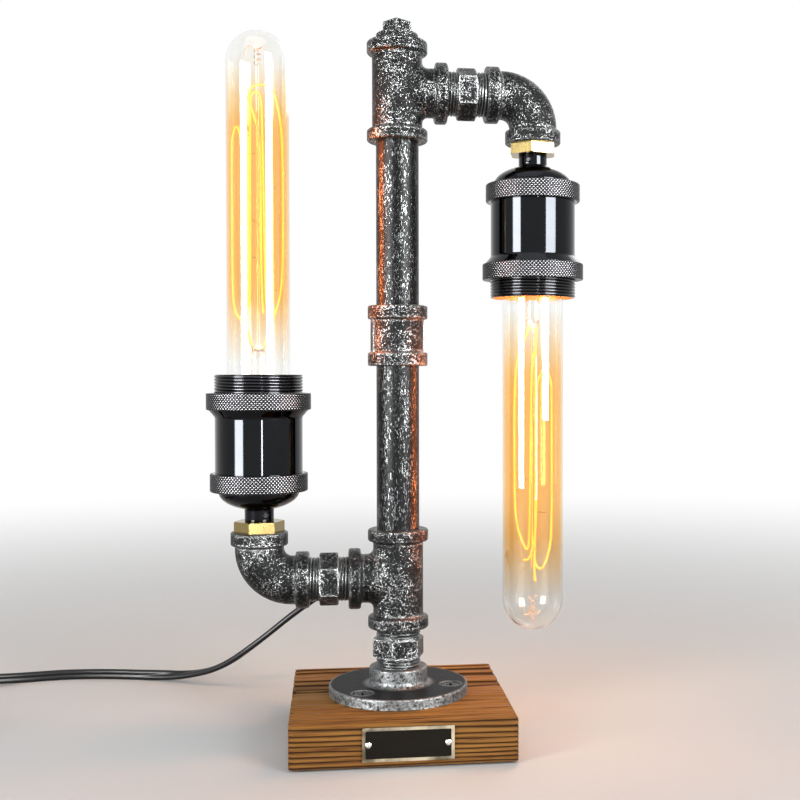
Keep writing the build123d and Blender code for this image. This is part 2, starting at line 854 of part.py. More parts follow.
def bulb_stem(seat):
    """Glass foot, pinched tube and the long rod that carries the filament's hooks."""
    foot = bulb_neck_bottom
    tube_top = foot + stem_tube_length
    with BuildPart() as stem:
        with BuildSketch(profile_of(seat)):
            with BuildLine():
                Polyline(
                    (0, foot),
                    (bulb_neck_radius - bulb_wall, foot),
                    (bulb_neck_radius - bulb_wall, foot + stem_foot_thickness),
                    (stem_tube_radius, foot + stem_tube_length / 3),
                    (stem_tube_radius, tube_top - stem_tube_radius),
                    (stem_rod_radius, tube_top),
                    (stem_rod_radius, tube_top + stem_rod_length),
                    (0, tube_top + stem_rod_length),
                    close=True,
                )
            make_face()
        revolve(axis=axis_of(seat))
    return stem


def bulb_filament(seat):
    """One wire that runs up and down the cage: straight strands joined by bends at both ends."""
    bottom = bulb_foot + filament_bottom
    top = bottom + filament_height
    beside_stem = stem_tube_radius + filament_wire_radius + filament_clearance
    lead_foot = bulb_neck_bottom + stem_tube_length - stem_tube_radius - filament_lead_depth
    points = []
    for strand in range(filament_strands):
        angle = 2 * math.pi * strand / filament_strands
        x = filament_circle * math.cos(angle)
        y = filament_circle * math.sin(angle)
        ends = (bottom, top) if strand % 2 == 0 else (top, bottom)
        points += [(x, y, ends[0]), (x, y, ends[1])]
    # both ends of the wire come down beside the pinch of the stem
    last = 2 * math.pi * (filament_strands - 1) / filament_strands
    points.insert(0, (beside_stem, 0, lead_foot))
    points.append((beside_stem * math.cos(last), beside_stem * math.sin(last), lead_foot))
    with BuildPart() as filament:
        with BuildLine(seat) as wire:
            FilletPolyline(*points, radius=filament_circle / filament_strands)
        with BuildSketch(Plane(origin=wire.wires()[0] @ 0, z_dir=wire.wires()[0] % 0)):
            Circle(filament_wire_radius)
        sweep(path=wire.wires()[0])
    return filament


for prefix, seat, bushing_turn in (
    ("lower_", lower_seat, lower_bushing_turn),
    ("upper_", upper_seat, upper_bushing_turn),
):
    save(elbow(seat), prefix + "elbow")
    save(brass_bushing(seat, bushing_turn), prefix + "bushing")
    save(neck_tube(seat), prefix + "neck_tube")
    save(holder_cap(seat), prefix + "holder_cap")
    save(holder_shell(seat), prefix + "holder_shell")
    save(shade_ring(seat), prefix + "shade_ring")
    save(socket_core(seat), prefix + "socket_core")
    save(screw_sleeve(seat), prefix + "screw_sleeve")
    save(centre_contact(seat), prefix + "centre_contact")
    save(head_leads(seat), prefix + "head_leads")
    save(bulb_glass(seat), prefix + "bulb_glass")
    save(bulb_cap(seat), prefix + "bulb_cap")
    save(bulb_contact(seat), prefix + "bulb_contact")
    save(bulb_stem(seat), prefix + "bulb_stem")
    save(bulb_filament(seat), prefix + "bulb_filament")

# ---- Leads inside the column ---------------------------------------------------------------
splice_bottom = lower_tee_z + splice_drop
splice_top = splice_bottom + splice_length
gland_tip = gland_seat_depth + gland_collar_width + relief_length
arm_split = tee_reach + nipple_exposed / 2
column_split = upper_tee_z - tee_reach - thread_relief

with BuildPart() as splice_caps:
    with BuildSketch(Plane.XY.offset(splice_bottom)):
        with GridLocations(splice_spacing, 0, 2, 1):
            Circle(splice_radius)
    extrude(amount=splice_length)
save(splice_caps, "splice_caps")

with BuildPart() as supply_leads:
    # from the gland to the splices
    with BuildLine() as inlet:
        FilletPolyline(
            (0, gland_tip, lower_tee_z),
            (0, 0, lower_tee_z),
            (0, 0, splice_bottom),
            radius=waterway_radius,
        )
    with BuildSketch(Plane(origin=(0, gland_tip, lower_tee_z), z_dir=(0, -1, 0))):
        Circle(cord_radius)
    sweep(path=inlet.wires()[0])
    # along the lower arm to the swivel
    with BuildSketch(Plane(origin=(lead_gap - cord_radius, 0, lower_tee_z), z_dir=(-1, 0, 0))):
        Circle(lead_radius)
    extrude(amount=arm_split - cord_radius)
    # from the splices up to the swivel under the upper tee
    with BuildSketch(Plane.XY.offset(splice_top)):
        Circle(lead_radius)
    extrude(amount=column_split - splice_top)
save(supply_leads, "supply_leads")

with BuildPart() as upper_arm_leads:
    with BuildLine() as arm_route:
        FilletPolyline(
            (0, 0, column_split + lead_gap),
            (0, 0, upper_tee_z),
            (arm_split - lead_gap, 0, upper_tee_z),
            radius=elbow_reach / 2,
        )
    with BuildSketch(Plane.XY.offset(column_split + lead_gap)):
        Circle(lead_radius)
    sweep(path=arm_route.wires()[0])
save(upper_arm_leads, "upper_arm_leads")

# ---- Cord gland ----------------------------------------------------------------------------
with BuildPart() as cord_gland:
    collar_front = gland_collar_width
    with BuildSketch(profile_of(gland_seat)):
        with BuildLine():
            Polyline(
                (cord_radius, waterway_radius - gland_seat_depth),
                (gland_hole_radius, waterway_radius - gland_seat_depth),
                (gland_hole_radius, 0),
                (gland_collar_radius, 0),
                (gland_collar_radius, collar_front),
                (relief_root_radius, collar_front),
                (relief_tip_radius, collar_front + relief_length),
                (cord_radius, collar_front + relief_length),
                close=True,
            )
        make_face()
    revolve(axis=axis_of(gland_seat))
save(cord_gland, "cord_gland")

# ---- Free cord -----------------------------------------------------------------------------
coil_x, coil_y = coil_centre
switch_turn = math.radians(switch_heading)
switch_dir = (math.cos(switch_turn), math.sin(switch_turn), 0)
switch_end = (
    switch_start[0] + switch_length * switch_dir[0],
    switch_start[1] + switch_length * switch_dir[1],
)
coil_mouth_x = coil_x - coil_outer_radius + cord_radius
coil_height = coil_layers * cord_diameter

lead_points = [
    (0, gland_tip, lower_tee_z),
    (0, 56, lower_tee_z),
    (-7.5, 76, 74.5),
    (-25, 88, 63.5),
    (-50, 90.5, 48.5),
    (-76, 94.5, 27),
    (-97, 104, 11),
    (-117, 115.5, 4.5),
    (-139, 125, 3),
    (-165, 131.5, 3),
    (-190, 133.5, 3),
    (-213, 129, 3),
    (-229.5, 121, 4.5),
    (*switch_start, switch_cord_height),
]
link_points = [
    (*switch_end, switch_cord_height),
    (-294, 52, 4),
    (-300, 34, 3),
    (coil_mouth_x, coil_y + 6, 3),
]
tail_points = [
    (coil_mouth_x, coil_y, 9),
    (-301, -7, 8),
    (-299, -26, 5),
    (-294, -44, 4.5),
    plug_start,
]


def cord_tube(points, label):
    """Straight runs joined by arcs, each arc as large as its two runs allow."""
    corners = [Vector(*p) for p in points]
    radii = []
    for before, here, after in zip(corners, corners[1:], corners[2:]):
        turn = (here - before).get_angle(after - here)
        shorter = min((here - before).length, (after - here).length)
        radii.append(cord_bend_share * shorter / math.tan(math.radians(turn / 2)))
    with BuildPart() as tube:
        with BuildLine() as line:
            FilletPolyline(*points, radius=radii)
        with BuildSketch(Plane(origin=corners[0], z_dir=corners[1] - corners[0])):
            Circle(cord_radius)
        sweep(path=line.wires()[0])
    length = line.wires()[0].length
    section = math.pi * cord_radius**2
    print(label, "length", round(length, 1), "volume ratio", round(tube.part.volume / section / length, 4))
    print(label, "radii", [round(r, 1) for r in radii])
    return tube


save(cord_tube(lead_points, "cord_lead"), "cord_lead")
save(cord_tube(link_points, "cord_link"), "cord_link")
save(cord_tube(tail_points, "cord_tail"), "cord_tail")

with BuildPart() as cord_coil:
    coil_plane = Plane(origin=(coil_x, coil_y, 0), x_dir=(1, 0, 0), z_dir=(0, 0, 1))
    with BuildSketch(profile_of(coil_plane)) as coil_section:
        with Locations((coil_inner_radius, 0)):
            Rectangle(coil_outer_radius - coil_inner_radius, coil_height, align=(Align.MIN, Align.MIN))
        fillet(coil_section.vertices(), radius=coil_edge)
    revolve(axis=axis_of(coil_plane))
save(cord_coil, "cord_coil")

# ---- Inline switch -------------------------------------------------------------------------
switch_middle = (
    (switch_start[0] + switch_end[0]) / 2,
    (switch_start[1] + switch_end[1]) / 2,
)
switch_plane = Plane(origin=(*switch_middle, 0), x_dir=switch_dir, z_dir=(0, 0, 1))
corner_x = rocker_length / 2
tilt = math.radians(rocker_tilt)
window_length = 2 * (
    corner_x * math.cos(tilt) + (rocker_wing_height - rocker_pivot_height) * math.sin(tilt) + rocker_clearance
)
window_width = rocker_width + 2 * rocker_clearance
pivot = Plane(
    origin=switch_plane.from_local_coords((0, 0, rocker_pivot_height)),
    x_dir=switch_dir,
    z_dir=(0, 0, 1),
)


# plan of the housing: a body that narrows towards both cord ends
switch_half = switch_length / 2
switch_outline = [
    (-switch_half, -switch_end_width / 2),
    (-switch_waist, -switch_width / 2),
    (switch_waist, -switch_width / 2),
    (switch_half, -switch_end_width / 2),
    (switch_half, switch_end_width / 2),
    (switch_waist, switch_width / 2),
    (-switch_waist, switch_width / 2),
    (-switch_half, switch_end_width / 2),
]

with BuildPart() as switch_base:
    with BuildSketch(switch_plane):
        with BuildLine():
            Polyline(*switch_outline, close=True)
        make_face()
    extrude(amount=switch_base_height)
    with BuildSketch(switch_plane):
        with GridLocations(switch_screw_spacing, 0, 2, 1):
            Circle(switch_screw_head_radius)
    extrude(amount=switch_screw_sink + switch_screw_head_height, mode=Mode.SUBTRACT)
    with BuildSketch(switch_plane):
        with GridLocations(switch_screw_spacing, 0, 2, 1):
            Circle(switch_screw_radius)
    extrude(amount=switch_base_height, mode=Mode.SUBTRACT)
save(switch_base, "switch_base")

with BuildPart() as switch_cover:
    with BuildSketch(switch_plane.offset(switch_base_height)):
        with BuildLine():
            Polyline(*switch_outline, close=True)
        make_face()
    extrude(amount=switch_cover_height)
    fillet(switch_cover.edges().group_by(Axis.Z)[-1], radius=switch_edge)
    with BuildSketch(switch_plane.offset(switch_base_height)):
        Rectangle(window_length, window_width)
    extrude(amount=switch_cover_height, mode=Mode.SUBTRACT)
    with BuildSketch(switch_plane.offset(switch_base_height)):
        with GridLocations(switch_screw_spacing, 0, 2, 1):
            Circle(switch_screw_radius)
    extrude(amount=switch_screw_sink + switch_screw_length - switch_base_height, mode=Mode.SUBTRACT)
    trunnion_reach = rocker_width / 2 + trunnion_length + rocker_clearance
    with BuildSketch(profile_of(pivot)):
        Circle(trunnion_radius + swivel_clearance)
    extrude(amount=trunnion_reach, both=True, mode=Mode.SUBTRACT)
save(switch_cover, "switch_cover")

with BuildPart() as switch_rocker:
    # at rest one wing is pressed in, so the profile is turned about its pivot
    pressed = Plane(
        origin=pivot.origin,
        x_dir=(switch_dir[0] * math.cos(tilt), switch_dir[1] * math.cos(tilt), -math.sin(tilt)),
        z_dir=-pivot.y_dir,
    )
    below = rocker_bottom_height - rocker_pivot_height
    wing = rocker_wing_height - rocker_pivot_height
    with BuildSketch(pressed):
        with BuildLine():
            Polyline(
                (-corner_x, below),
                (corner_x, below),
                (corner_x, wing),
                (0, wing - rocker_dip),
                (-corner_x, wing),
                close=True,
            )
        make_face()
    extrude(amount=rocker_width / 2, both=True)
    with BuildSketch(pressed):
        Circle(trunnion_radius)
    extrude(amount=rocker_width / 2 + trunnion_length, both=True)
save(switch_rocker, "switch_rocker")

with BuildPart() as switch_screws:
    with BuildSketch(switch_plane.offset(switch_screw_sink)):
        with GridLocations(switch_screw_spacing, 0, 2, 1):
            Circle(switch_screw_head_radius)
    extrude(amount=switch_screw_head_height)
    with BuildSketch(switch_plane.offset(switch_screw_sink)):
        with GridLocations(switch_screw_spacing, 0, 2, 1):
            Circle(switch_screw_radius)
    extrude(amount=switch_screw_length)
save(switch_screws, "switch_screws")

# ---- Mains plug ----------------------------------------------------------------------------
plug_plane = Plane(origin=plug_start, x_dir=(1, 0, 0), z_dir=(0, -1, 0))
with BuildPart() as plug_body:
    with BuildSketch(plug_plane):
        Circle(relief_tip_radius)
    with BuildSketch(plug_plane.offset(plug_relief_length)):
        Circle(plug_relief_radius)
    loft()
    flat = Plane((plug_start[0], plug_start[1] - plug_relief_length, 0))
    with BuildSketch(flat):
        with BuildLine():
            Polyline(
                (-plug_back_width / 2, 0),
                (-plug_body_width / 2, -plug_widest * plug_body_length),
                (-plug_front_width / 2, -plug_body_length),
                (plug_front_width / 2, -plug_body_length),
                (plug_body_width / 2, -plug_widest * plug_body_length),
                (plug_back_width / 2, 0),
                close=True,
            )
        make_face()
    extrude(amount=plug_body_thickness)
    fillet(
        plug_body.edges().filter_by(GeomType.LINE).group_by(Axis.Z)[0]
        + plug_body.edges().filter_by(GeomType.LINE).group_by(Axis.Z)[-1],
        radius=plug_edge,
    )
    pin_face = plug_plane.offset(plug_relief_length + plug_body_length)
    with BuildSketch(pin_face):
        with GridLocations(pin_spacing, 0, 2, 1):
            Circle(pin_radius)
    extrude(amount=-pin_sunk, mode=Mode.SUBTRACT)
save(plug_body, "plug_body")

with BuildPart() as plug_pins:
    with BuildSketch(pin_face.offset(-pin_sunk)):
        with GridLocations(pin_spacing, 0, 2, 1):
            Circle(pin_radius)
    extrude(amount=pin_sunk + pin_length)
    fillet(plug_pins.edges().group_by(Axis.Y)[0], radius=pin_radius / 2)
save(plug_pins, "plug_pins")

print("height of the top plug", round(top_plug.part.bounding_box().max.Z, 2))
print("upper bulb tip", round(upper_seat.origin.Z - bulb_foot - bulb_length, 2))
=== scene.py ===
# %% [markdown]
# # A table lamp made of pipe fittings
# The solids of the lamp come in first, each under its own name. They are the fixed frame: every
# piece made below is placed by them and moves with one of them. Lengths in this lesson are metres,
# except in the outlines of turned pieces, which are in millimetres because a turner works in them.

# %% Load the solids
import math

import bpy
from mathutils import Matrix, Vector


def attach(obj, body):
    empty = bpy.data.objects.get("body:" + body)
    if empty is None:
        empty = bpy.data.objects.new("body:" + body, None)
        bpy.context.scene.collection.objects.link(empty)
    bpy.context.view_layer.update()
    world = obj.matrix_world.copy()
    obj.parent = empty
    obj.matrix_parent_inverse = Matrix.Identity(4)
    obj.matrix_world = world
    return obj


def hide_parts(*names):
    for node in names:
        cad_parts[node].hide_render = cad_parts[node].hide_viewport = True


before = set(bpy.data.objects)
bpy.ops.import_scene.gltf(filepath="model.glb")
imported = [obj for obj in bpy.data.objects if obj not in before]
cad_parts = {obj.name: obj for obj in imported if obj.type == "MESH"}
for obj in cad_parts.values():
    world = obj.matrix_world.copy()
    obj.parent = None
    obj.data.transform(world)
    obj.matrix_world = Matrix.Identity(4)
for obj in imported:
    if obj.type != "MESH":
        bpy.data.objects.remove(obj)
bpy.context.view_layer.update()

scene = bpy.context.scene
MM = 0.001

# %% [markdown]
# ## The camera
# It stands in front of the lamp, a little to its left, slightly above the middle, and looks a touch
# down. The lamp stands left of the middle of the frame, so the lens is shifted rather than turned:
# a shift keeps upright edges upright.

# %% Camera
heading, pitch = math.radians(3.3012), math.radians(1.1165)
aside, focal_length = 84.515, 1177.6
aim, roll = math.atan(aside / focal_length), math.radians(-0.116)
level = Vector((math.sin(heading), math.cos(heading), 0))
right = Vector((math.cos(heading), -math.sin(heading), 0))
up = Vector((0, 0, 1))
forward = level * math.cos(pitch) - up * math.sin(pitch)
raised = up * math.cos(pitch) + level * math.sin(pitch)
look = forward * math.cos(aim) + right * math.sin(aim)
side = right * math.cos(aim) - forward * math.sin(aim)
across = side * math.cos(roll) + raised * math.sin(roll)
above = raised * math.cos(roll) - side * math.sin(roll)

camera = bpy.data.objects.new("camera", bpy.data.cameras.new("camera"))
scene.collection.objects.link(camera)
stance = Matrix((across, above, -look)).transposed().to_4x4()
camera.matrix_world = Matrix.Translation((-0.03231, -0.59069, 0.17974)) @ stance
camera.data.lens = 52.99
camera.data.sensor_width = 36
camera.data.shift_x = -0.1073
scene.camera = camera
print("camera at", [round(c, 3) for c in camera.location])

# %% [markdown]
# ## Wiring materials and trees
# Every finish below is a small network of nodes. Placing a node, setting it and joining its inputs
# takes three lines each time, so one helper does it in one: a value goes on the socket itself, and
# the output of another node is joined to it.

# %% Helpers for node trees


class Wiring:
    """Places and joins nodes in one tree."""

    def __init__(self, tree):
        self.tree = tree

    def feed(self, socket, value):
        if hasattr(value, "outputs"):
            value = value.outputs[0]
        if isinstance(value, bpy.types.NodeSocket):
            self.tree.links.new(value, socket)
        elif socket.type == "RGBA":
            socket.default_value = (*value, 1)
        else:
            socket.default_value = value

    def put(self, kind, sockets=None, **settings):
        node = self.tree.nodes.new(kind)
        for key, value in settings.items():
            setattr(node, key, value)
        for key, value in (sockets or {}).items():
            self.feed(node.inputs[key], value)
        return node

    def maths(self, operation, *values, clamp=False):
        sockets = dict(enumerate(values))
        return self.put("ShaderNodeMath", sockets, operation=operation, use_clamp=clamp).outputs[0]

    def plus(self, first, second):
        return self.maths("ADD", first, second)

    def minus(self, first, second):
        return self.maths("SUBTRACT", first, second)

    def times(self, first, second):
        return self.maths("MULTIPLY", first, second)

    def vector(self, operation, *values):
        """What a Vector Math node makes of its inputs, a vector or a number."""
        node = self.put("ShaderNodeVectorMath", dict(enumerate(values)), operation=operation)
        return node.outputs["Value" if operation in ("LENGTH", "DOT_PRODUCT") else "Vector"]

    def sized(self, vector, scale):
        """A vector made longer or shorter."""
        sockets = {0: vector, "Scale": scale}
        return self.put("ShaderNodeVectorMath", sockets, operation="SCALE").outputs["Vector"]

    def scaled(self, place, x, y, z):
        return self.vector("MULTIPLY", place, (x, y, z))

    def xyz(self, x=0.0, y=0.0, z=0.0):
        return self.put("ShaderNodeCombineXYZ", {0: x, 1: y, 2: z})

    def blend(self, share, first, second):
        """A colour between two colours."""
        node = self.put("ShaderNodeMix", {0: share, 6: first, 7: second}, data_type="RGBA")
        return node.outputs[2]

    def between(self, share, first, second):
        """A number between two numbers."""
        node = self.put("ShaderNodeMix", {0: share, 2: first, 3: second}, data_type="FLOAT")
        return node.outputs[0]

    def step(self, value, low, high):
        """0 under low, 1 over high, smooth between."""
        sockets = {0: value, 1: low, 2: high}
        return self.put("ShaderNodeMapRange", sockets, interpolation_type="SMOOTHSTEP").outputs[0]

    def noise(self, scale, detail=3.0, roughness=0.55, place=None, distortion=0.0):
        sockets = {"Vector": place or self.place, "Scale": scale, "Detail": detail}
        sockets.update({"Roughness": roughness, "Distortion": distortion})
        return self.put("ShaderNodeTexNoise", sockets).outputs["Fac"]


class Finish(Wiring):
    """A material with one Principled shader."""

    def __init__(self, name, **sockets):
        self.material = bpy.data.materials.new(name)
        self.material.use_nodes = True
        super().__init__(self.material.node_tree)
        self.shader = self.tree.nodes["Principled BSDF"]
        self.place = self.put("ShaderNodeTexCoord").outputs["Object"]
        self.set(**sockets)

    def set(self, **sockets):
        for key, value in sockets.items():
            label = key.replace("_", " ").title().replace("Ior", "IOR")
            self.feed(self.shader.inputs[label], value)

    def stretched(self, x, y, z):
        return self.scaled(self.place, x, y, z)

    def stored(self, name):
        """A number that the points of the piece carry."""
        return self.put("ShaderNodeAttribute", attribute_name=name).outputs["Fac"]

    def mottled(self, scale, first, second):
        """Lets the base colour drift between two colours."""
        self.set(base_color=self.blend(self.noise(scale), first, second))

    def worn(self, scale, low, high, detail=3.0):
        """Lets the roughness drift between two values."""
        self.set(roughness=self.between(self.noise(scale, detail), low, high))

    def relief(self, height, strength, depth):
        sockets = {"Height": height, "Strength": strength, "Distance": depth}
        self.set(normal=self.put("ShaderNodeBump", sockets).outputs[0])

    def give_way(self, share, other):
        """Where the share is 1, another shader shows instead of the Principled one."""
        mixed = self.put("ShaderNodeMixShader", {0: share, 1: self.shader, 2: other})
        self.feed(self.tree.nodes["Material Output"].inputs["Surface"], mixed)


def dress(finish, *nodes):
    """Gives solids their finish."""
    for node in nodes:
        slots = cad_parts[node].data.materials
        slots.clear()
        slots.append(finish.material)


heads = ("lower", "upper")


def both(*pieces):
    """The names of a piece on both heads."""
    return [f"{head}_{piece}" for head in heads for piece in pieces]


# %% [markdown]
# ## Making pieces
# A mesh becomes a piece when it is smoothed, coated and tied to the body that it moves with. What
# repeats is grown by a tree of Geometry Nodes: the tree's inputs are the sizes, and what comes out
# is kept as a plain mesh.

# %% Helpers for pieces


def clamped(value):
    return min(1.0, max(0.0, value))


def finished(name, mesh, body, finish, sharp=32):
    """Puts a mesh in the scene as a piece that rides on a body."""
    mesh.validate()
    mesh.shade_smooth()
    mesh.set_sharp_from_angle(angle=math.radians(sharp))
    mesh.materials.clear()
    mesh.materials.append(finish.material)
    piece = bpy.data.objects.new(name, mesh)
    scene.collection.objects.link(piece)
    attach(piece, body)
    return piece


def tree_with_inputs(name, sizes):
    """An empty tree with an input for each size and one for the finish: its wiring and inputs."""
    tree = bpy.data.node_groups.new(name, "GeometryNodeTree")
    tree.interface.new_socket("Geometry", in_out="OUTPUT", socket_type="NodeSocketGeometry")
    for label, value in sizes.items():
        kind = "NodeSocketInt" if isinstance(value, int) else "NodeSocketFloat"
        socket = tree.interface.new_socket(label, in_out="INPUT", socket_type=kind)
        socket.default_value = value
    tree.interface.new_socket("Finish", in_out="INPUT", socket_type="NodeSocketMaterial")
    wiring = Wiring(tree)
    return wiring, wiring.put("NodeGroupInput").outputs


def ended(wiring, geometry, material):
    """Ends a tree: instances become real, the material is set and the result goes out."""
    plain = wiring.put("GeometryNodeRealizeInstances", {"Geometry": geometry})
    coated = wiring.put("GeometryNodeSetMaterial", {"Geometry": plain, "Material": material})
    wiring.put("NodeGroupOutput", {"Geometry": coated})
    return wiring.tree


def grown(name, tree, place, body, finish, slot, sharp=180, **sizes):
    """Runs a tree with these sizes, in metres and radians, and keeps its result as a plain mesh."""
    host = bpy.data.objects.new(name, bpy.data.meshes.new(name))
    scene.collection.objects.link(host)
    modifier = host.modifiers.new(tree.name, "NODES")
    modifier.node_group = tree
    items = tree.interface.items_tree
    sockets = {item.name: item.identifier for item in items if item.in_out == "INPUT"}
    for key, value in sizes.items():
        modifier[sockets[key.title()]] = value
    modifier[sockets["Finish"]] = finish.material
    bpy.context.view_layer.update()
    result = host.evaluated_get(bpy.context.evaluated_depsgraph_get())
    mesh = bpy.data.meshes.new_from_object(result)
    bpy.data.objects.remove(host)
    mesh.name = name
    mesh.transform(place)
    return finished(name, mesh, body, finish, sharp)


def smooth_mesh(name, runs, resolution, bevel=0.0):
    """Smooth curves near the points of each run, as one mesh. A bevel makes round wires of them."""
    curve = bpy.data.curves.new(name, "CURVE")
    curve.dimensions, curve.resolution_u = "3D", resolution
    curve.bevel_depth, curve.bevel_resolution, curve.use_fill_caps = bevel, 2, bevel > 0
    for run in runs:
        spline = curve.splines.new("NURBS")
        spline.points.add(len(run) - 1)
        for point, place in zip(spline.points, run):
            point.co = (*place, 1)
        spline.order_u, spline.use_endpoint_u = 3, True
    guide = bpy.data.objects.new(name, curve)
    scene.collection.objects.link(guide)
    mesh = bpy.data.meshes.new_from_object(guide)
    bpy.data.objects.remove(guide)
    return mesh


def mark_points(piece, name, place, number_at):
    """Stores a number on each point of a piece, told by the point's spot on the lathe."""
    to_lathe = place.inverted()
    marks = piece.data.attributes.new(name, "FLOAT", "POINT")
    for vertex, mark in zip(piece.data.vertices, marks.data):
        mark.value = number_at(to_lathe @ vertex.co)


# %% [markdown]
# ## Floor, background and light
# A pale floor runs out into a white surround. Both are white only where they are looked at,
# mirrored or seen through glass, so that they don't flood the dark metal with light. Near the lamp
# the floor is painted and takes the shadow; further out its own white takes over, so that no
# horizon shows.

# %% World and floor
scene.view_settings.view_transform = "Standard"


def looked_at(wiring):
    """1 for rays from the camera, off a mirror or through glass."""
    ray = wiring.put("ShaderNodeLightPath").outputs
    seen = wiring.maths("MAXIMUM", ray["Is Camera Ray"], ray["Is Glossy Ray"])
    return wiring.maths("MAXIMUM", seen, ray["Is Transmission Ray"])


world = bpy.data.worlds.new("studio")
scene.world = world
world.use_nodes = True
sky = Wiring(world.node_tree)
surround = world.node_tree.nodes["Background"]
sky.feed(surround.inputs["Color"], (1, 1, 1))
sky.feed(surround.inputs["Strength"], sky.between(looked_at(sky), 0.32, 1.0))

reach = 6.0
corners = [(-reach, -reach, 0), (reach, -reach, 0), (reach, reach, 0), (-reach, reach, 0)]
floor_mesh = bpy.data.meshes.new("floor")
floor_mesh.from_pydata(corners, [], [(0, 1, 2, 3)])
floor = bpy.data.objects.new("floor", floor_mesh)
scene.collection.objects.link(floor)
paint = Finish("floor_paint", roughness=0.7, specular_ior_level=0.2)
paint.mottled(3.0, (0.66, 0.66, 0.66), (0.69, 0.69, 0.69))
far_off = paint.step(paint.vector("LENGTH", paint.place), 0.12, 1.3)
white = paint.put("ShaderNodeEmission", {"Color": (1, 1, 1), "Strength": 1.0})
paint.give_way(paint.times(far_off, looked_at(paint)), white)
floor_mesh.materials.append(paint.material)

# %% [markdown]
# Two tall soft lamps light the front, one on each side; they draw the bright upright strips on all
# that is polished. A mirror of black metal gives back only a fiftieth of what it sees, so each has
# a twin close by that is bright for mirrors alone and leaves the matt surfaces as they are. A
# narrow third one draws a thin line between the two strips. Light from above and from behind is
# weak.

# %% Lamps of the studio


def lamp(name, kind, place, energy, color=(1, 1, 1), hidden=(), **settings):
    """A lamp that the hidden kinds of rays don't meet."""
    data = bpy.data.lights.new(name, kind)
    for key, value in {"energy": energy, "color": color, **settings}.items():
        setattr(data, key, value)
    light = bpy.data.objects.new(name, data)
    scene.collection.objects.link(light)
    light.location = place
    for rays in hidden:
        setattr(light, f"visible_{rays}", False)
    return light


def flat_lamp(name, place, facing, width, tall, radiance, color=(1, 1, 1), hidden=()):
    """A rectangular lamp. Its radiance is how bright it looks in a mirror."""
    energy = radiance * math.pi * width * tall
    sides = {"shape": "RECTANGLE", "size": width, "size_y": tall}
    light = lamp(name, "AREA", place, energy, color, hidden, **sides)
    light.rotation_mode = "QUATERNION"
    light.rotation_quaternion = facing.to_track_quat("-Z", "Y")


def softbox(name, bearing, distance, height, width, tall, radiance, hidden=()):
    """A flat lamp aimed at the column. Bearing 0 is at the camera, positive to its right."""
    turn = heading - math.radians(bearing)
    place = Vector((-math.sin(turn) * distance, -math.cos(turn) * distance, height))
    aimed_at = Vector((0, 0, min(height, 0.2)))
    flat_lamp(name, place, aimed_at - place, width, tall, radiance, hidden=hidden)


softbox("left_strip", -50, 1.25, 0.30, 0.50, 0.75, 8.0)
softbox("right_strip", 44, 1.25, 0.55, 0.55, 0.70, 6.0)
softbox("left_glint", -48, 1.24, 0.30, 0.48, 0.72, 40.0, ("diffuse",))
softbox("right_glint", 46, 1.24, 0.50, 0.60, 0.80, 36.0, ("diffuse",))
softbox("low_glint", 11, 1.15, 0.10, 0.05, 0.22, 90.0, ("diffuse",))
softbox("top_light", -20, 0.50, 1.40, 1.20, 1.20, 0.9)
softbox("back_light", 150, 1.30, 0.90, 0.80, 0.60, 1.6)

# %% [markdown]
# ## The cord
# A flat twin cord leaves the gland in the back of the lower tee, falls to the table and runs off to
# the left, to an inline switch. What is left of its 1.8 m is wound into a coil behind the switch,
# and ends in a flat plug. Cord could be bent from arcs and straight runs, but it never looks limp
# then. A NURBS curve through a few control points gives one line without kinks, and its mesh
# follows it.

# %% The cord's two lines
lead_points = [
    (0, 36.5, 79.1), (0, 56, 79.1), (-7.5, 76, 74.5), (-25, 88, 63.5), (-50, 90.5, 48.5),
    (-76, 94.5, 27), (-97, 104, 11), (-117, 115.5, 4.5), (-139, 125, 3), (-165, 131.5, 3),
    (-190, 133.5, 3), (-213, 129, 3), (-229.5, 121, 4.5), (-243, 112, 6),
]
link_points = [(-284.49, 65.93, 6), (-294, 52, 4), (-300, 34, 3)]
tail_points = [(-301, -7, 8), (-299, -26, 5), (-294, -44, 4.5), (-288, -64, 6.85)]
coil_centre, coil_turns, points_per_turn = (-262, 12), 6, 16
coil_outer, coil_inner, low_layer, high_layer = 39, 27, 3, 9


def coil_points():
    """Three turns wound inwards on the table and three wound outwards on top of them."""
    points = []
    for count in range(coil_turns * points_per_turn + 1):
        turn = count / points_per_turn
        wound = 1 - clamped(turn / 2.5) + clamped((turn - 3.5) / 2.5)
        radius = coil_inner + (coil_outer - coil_inner) * wound
        height = low_layer + (high_layer - low_layer) * clamped(turn - 2.5)
        angle = math.pi + 2 * math.pi * turn
        x = coil_centre[0] + radius * math.cos(angle)
        y = coil_centre[1] + radius * math.sin(angle)
        points.append((x, y, height))
    return points


def cord_line(name, points):
    """One smooth line through the neighbourhood of the points, as points in metres."""
    mesh = smooth_mesh(name, [[[c * MM for c in point] for point in points]], resolution=12)
    line = [v.co.copy() for v in mesh.vertices]
    bpy.data.meshes.remove(mesh)
    return line


lead_line = cord_line("lead_line", lead_points)
tail_line = cord_line("tail_line", link_points + coil_points() + tail_points)


def line_length(line):
    return sum((b - a).length for a, b in zip(line, line[1:]))


print("lead", round(line_length(lead_line), 3), "m, tail", round(line_length(tail_line), 3), "m")

# %% [markdown]
# The cord's section is two round insulated wires side by side with a web between them. Along the
# fall its wide side lies level; on the table and in the coil the cord stands on edge. The sweep
# turns the section by a quarter on the way.

# %% The cord's mesh
wire_radius, wire_offset = 1.7 * MM, 1.3 * MM


